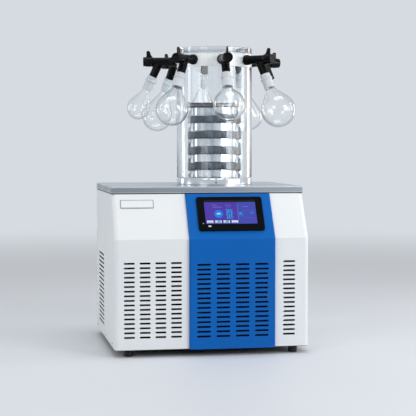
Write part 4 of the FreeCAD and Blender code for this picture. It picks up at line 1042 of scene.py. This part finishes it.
knob_plastic = worked_finish(
    "knob_plastic", (7, 7, 8), (10, 10, 12), (0.12, 0.24), 900.0, 0.00001, drift_scale=40.0,
    Specular_IOR_Level=0.12,
)
for number in PORTS:
    shapes = [*at_ports(knob_head(), [number]), *at_ports(knob_fin(), [number])]
    knob = piece(f"knob_{number}", shapes, knob_plastic)
    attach(knob, f"knob_{number}")
    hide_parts(f"valve_knob_{number}")


# Flask adapters. White silicone cones between the branches and the flasks' necks, with a grip ring and
# fine moulded ribs. Port 3 has no flask, so it has no adapter.
FLASK_PORTS = (1, 2, 4, 5, 6, 7, 8)
ADAPTER_TOP = 0.055
ADAPTER_END = 0.104
ADAPTER_BORE = 0.0085
GRIP = 0.33
RIBS = 9
NECK_RADIUS = 0.013
NECK_TOP = 0.084
NECK_FIT = 0.0001


def swell(share, place, width, power=2):
    """A bead as a bell curve of the share of the way down, which a higher power squares up."""
    return np.exp(-(np.abs(share - place) / width) ** power)


def adapter():
    """Outside: a slight cone with a bead at each end, a grip ring a third down and even ribs above and below
    it, as one function of the distance; inside: a bore for the branch, a narrow one and one for the neck."""
    along = np.linspace(ADAPTER_TOP + 0.0005, ADAPTER_END - 0.0008, 120)
    share = (along - ADAPTER_TOP) / (ADAPTER_END - ADAPTER_TOP)
    radius = 0.0161 + 0.0010 * share + 0.0008 * swell(share, 0.05, 0.03)
    radius += 0.0032 * swell(share, GRIP, 0.050, power=4)
    radius += 0.00055 * np.cos(share * 2 * np.pi * RIBS) * (np.abs(share - GRIP) > 0.07)
    radius += 0.0006 * swell(share, 0.97, 0.03)
    neck = NECK_RADIUS + NECK_FIT
    inside = softened([
        (neck, ADAPTER_END), (neck, NECK_TOP), (ADAPTER_BORE, NECK_TOP), (ADAPTER_BORE, BRANCH_LENGTH),
        (EVEN_RADIUS, BRANCH_LENGTH), (EVEN_RADIUS, ADAPTER_TOP),
    ], 0.0003, closed=False)
    return skin(down_branch(np.vstack([np.stack([radius, along], -1), inside])), joined=True)


silicone = worked_finish(
    "white_silicone", (214, 219, 224), (202, 208, 214), (0.38, 0.52), 800.0, 0.00003, drift_scale=60.0,
    Subsurface_Weight=0.15, Subsurface_Radius=(0.003, 0.003, 0.003), Subsurface_Scale=1.0,
)
adapters = piece("silicone_adapters", at_ports(adapter(), FLASK_PORTS), silicone)
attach(adapters, "cabinet")
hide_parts("flask_adapters")


# Flasks. Pear-shaped and round-bottomed, blown in clear borosilicate glass with a fire-polished neck;
# they hang by their necks in the adapters and differ a little in size.
GLASS = 0.002
NECK_BOTTOM = 0.106
NECK_BEND = 0.008


def flask_size(number):
    """Ball radius and the distance of its middle down the branch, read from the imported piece."""
    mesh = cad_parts[f"flask_{number}"].data
    points = np.empty(len(mesh.vertices) * 3)
    mesh.vertices.foreach_get("co", points)
    drawn = (points.reshape(-1, 3) - port_middle) @ port_turn(number) - branch_start
    along = drawn @ DOWN
    radius = np.linalg.norm(drawn - along[:, None] * DOWN, axis=1).max()
    return radius, along.max() - radius


def pear(radius, distance, neck):
    """Outline from the mouth to the bottom: a straight neck, then a cone that leaves it in a soft curve and
    runs tangent into the ball."""
    run = NECK_BOTTOM - distance
    angle = math.atan2(neck, run) - math.acos(radius / math.hypot(run, neck))
    ball = np.linspace(angle, 0, 40)[:-1]
    ball = np.stack([radius * np.sin(ball), distance + radius * np.cos(ball)], -1)
    leave = np.array([neck, NECK_BOTTOM])
    way = ball[0] - leave
    bend = bent(leave - [0, NECK_BEND], leave, leave + way * 0.12, np.linspace(0, 1, 9)[:, None])
    cone = leave + way * np.linspace(0.2, 0.95, 10)[:, None]
    return np.vstack([bend, cone, ball])


def flask(number):
    """The pear's outline outside, a rounded mouth, and the same outline a glass wall further in."""
    radius, distance = flask_size(number)
    outer = pear(radius, distance, NECK_RADIUS)
    inner = pear(radius - GLASS, distance, NECK_RADIUS - GLASS)
    lip = GLASS / 2
    turn = np.linspace(0, np.pi, 7)
    mouth = np.stack([NECK_RADIUS - lip - lip * np.cos(turn), NECK_TOP + lip - lip * np.sin(turn)], -1)
    return skin(down_branch(np.vstack([inner[::-1], mouth, outer]), 96))


blown_glass = clear_finish(
    "blown_glass", (252, 253, 253), (120, 136, 148), (0.0, 0.015), 1.47, 0.00006, 16.0,
)
for number in FLASK_PORTS:
    blown = piece(f"blown_flask_{number}", at_ports(flask(number), [number]), blown_glass, crease=60)
    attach(blown, "cabinet")
    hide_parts(f"flask_{number}")


# Refrigeration. Behind the slots: a finned condenser with its fan behind it, an enamelled compressor can
# on rubber mounts, and the control electronics in an enamelled box. The condenser's fins and the control
# box are coloured dark, partly as painted shade that keeps the slots dark.
dark_enamel_and_shade = worked_finish(
    "dark_enamel_and_shade", (24, 25, 28), (34, 35, 38), (0.24, 0.42), 160.0, 0.00006, drift_scale=14.0,
    Coat_Weight=0.3,
)
dress(dark_enamel_and_shade, "compressor", "control_box")
# Dark grey fins: painted shade behind the slots.
shaded_fins = worked_finish(
    "fin_aluminium", (92, 96, 101), (62, 66, 71), (0.36, 0.56), 260.0, 0.00004, drift_scale=24.0,
    Metallic=1.0,
)
dress(shaded_fins, "condenser")
fan_plastic = worked_finish(
    "fan_plastic", (22, 22, 24), (30, 30, 32), (0.38, 0.54), 800.0, 0.00004, drift_scale=22.0,
)
dress(fan_plastic, "fan_frame", "fan_blades")


# Services. At the back a vacuum pipe and a power inlet with its rocker switch; at the side a brass drain
# tap with a steel lever.
brass = worked_finish(
    "turned_brass", (204, 172, 104), (180, 146, 84), (0.20, 0.36), 420.0, 0.00003, drift_scale=40.0,
    Metallic=1.0,
)
dress(brass, "drain_valve")
inlet_plastic = worked_finish(
    "inlet_moulding", (20, 20, 22), (28, 28, 30), (0.30, 0.46), 900.0, 0.00003, drift_scale=30.0,
)
dress(inlet_plastic, "power_inlet", "power_rocker")
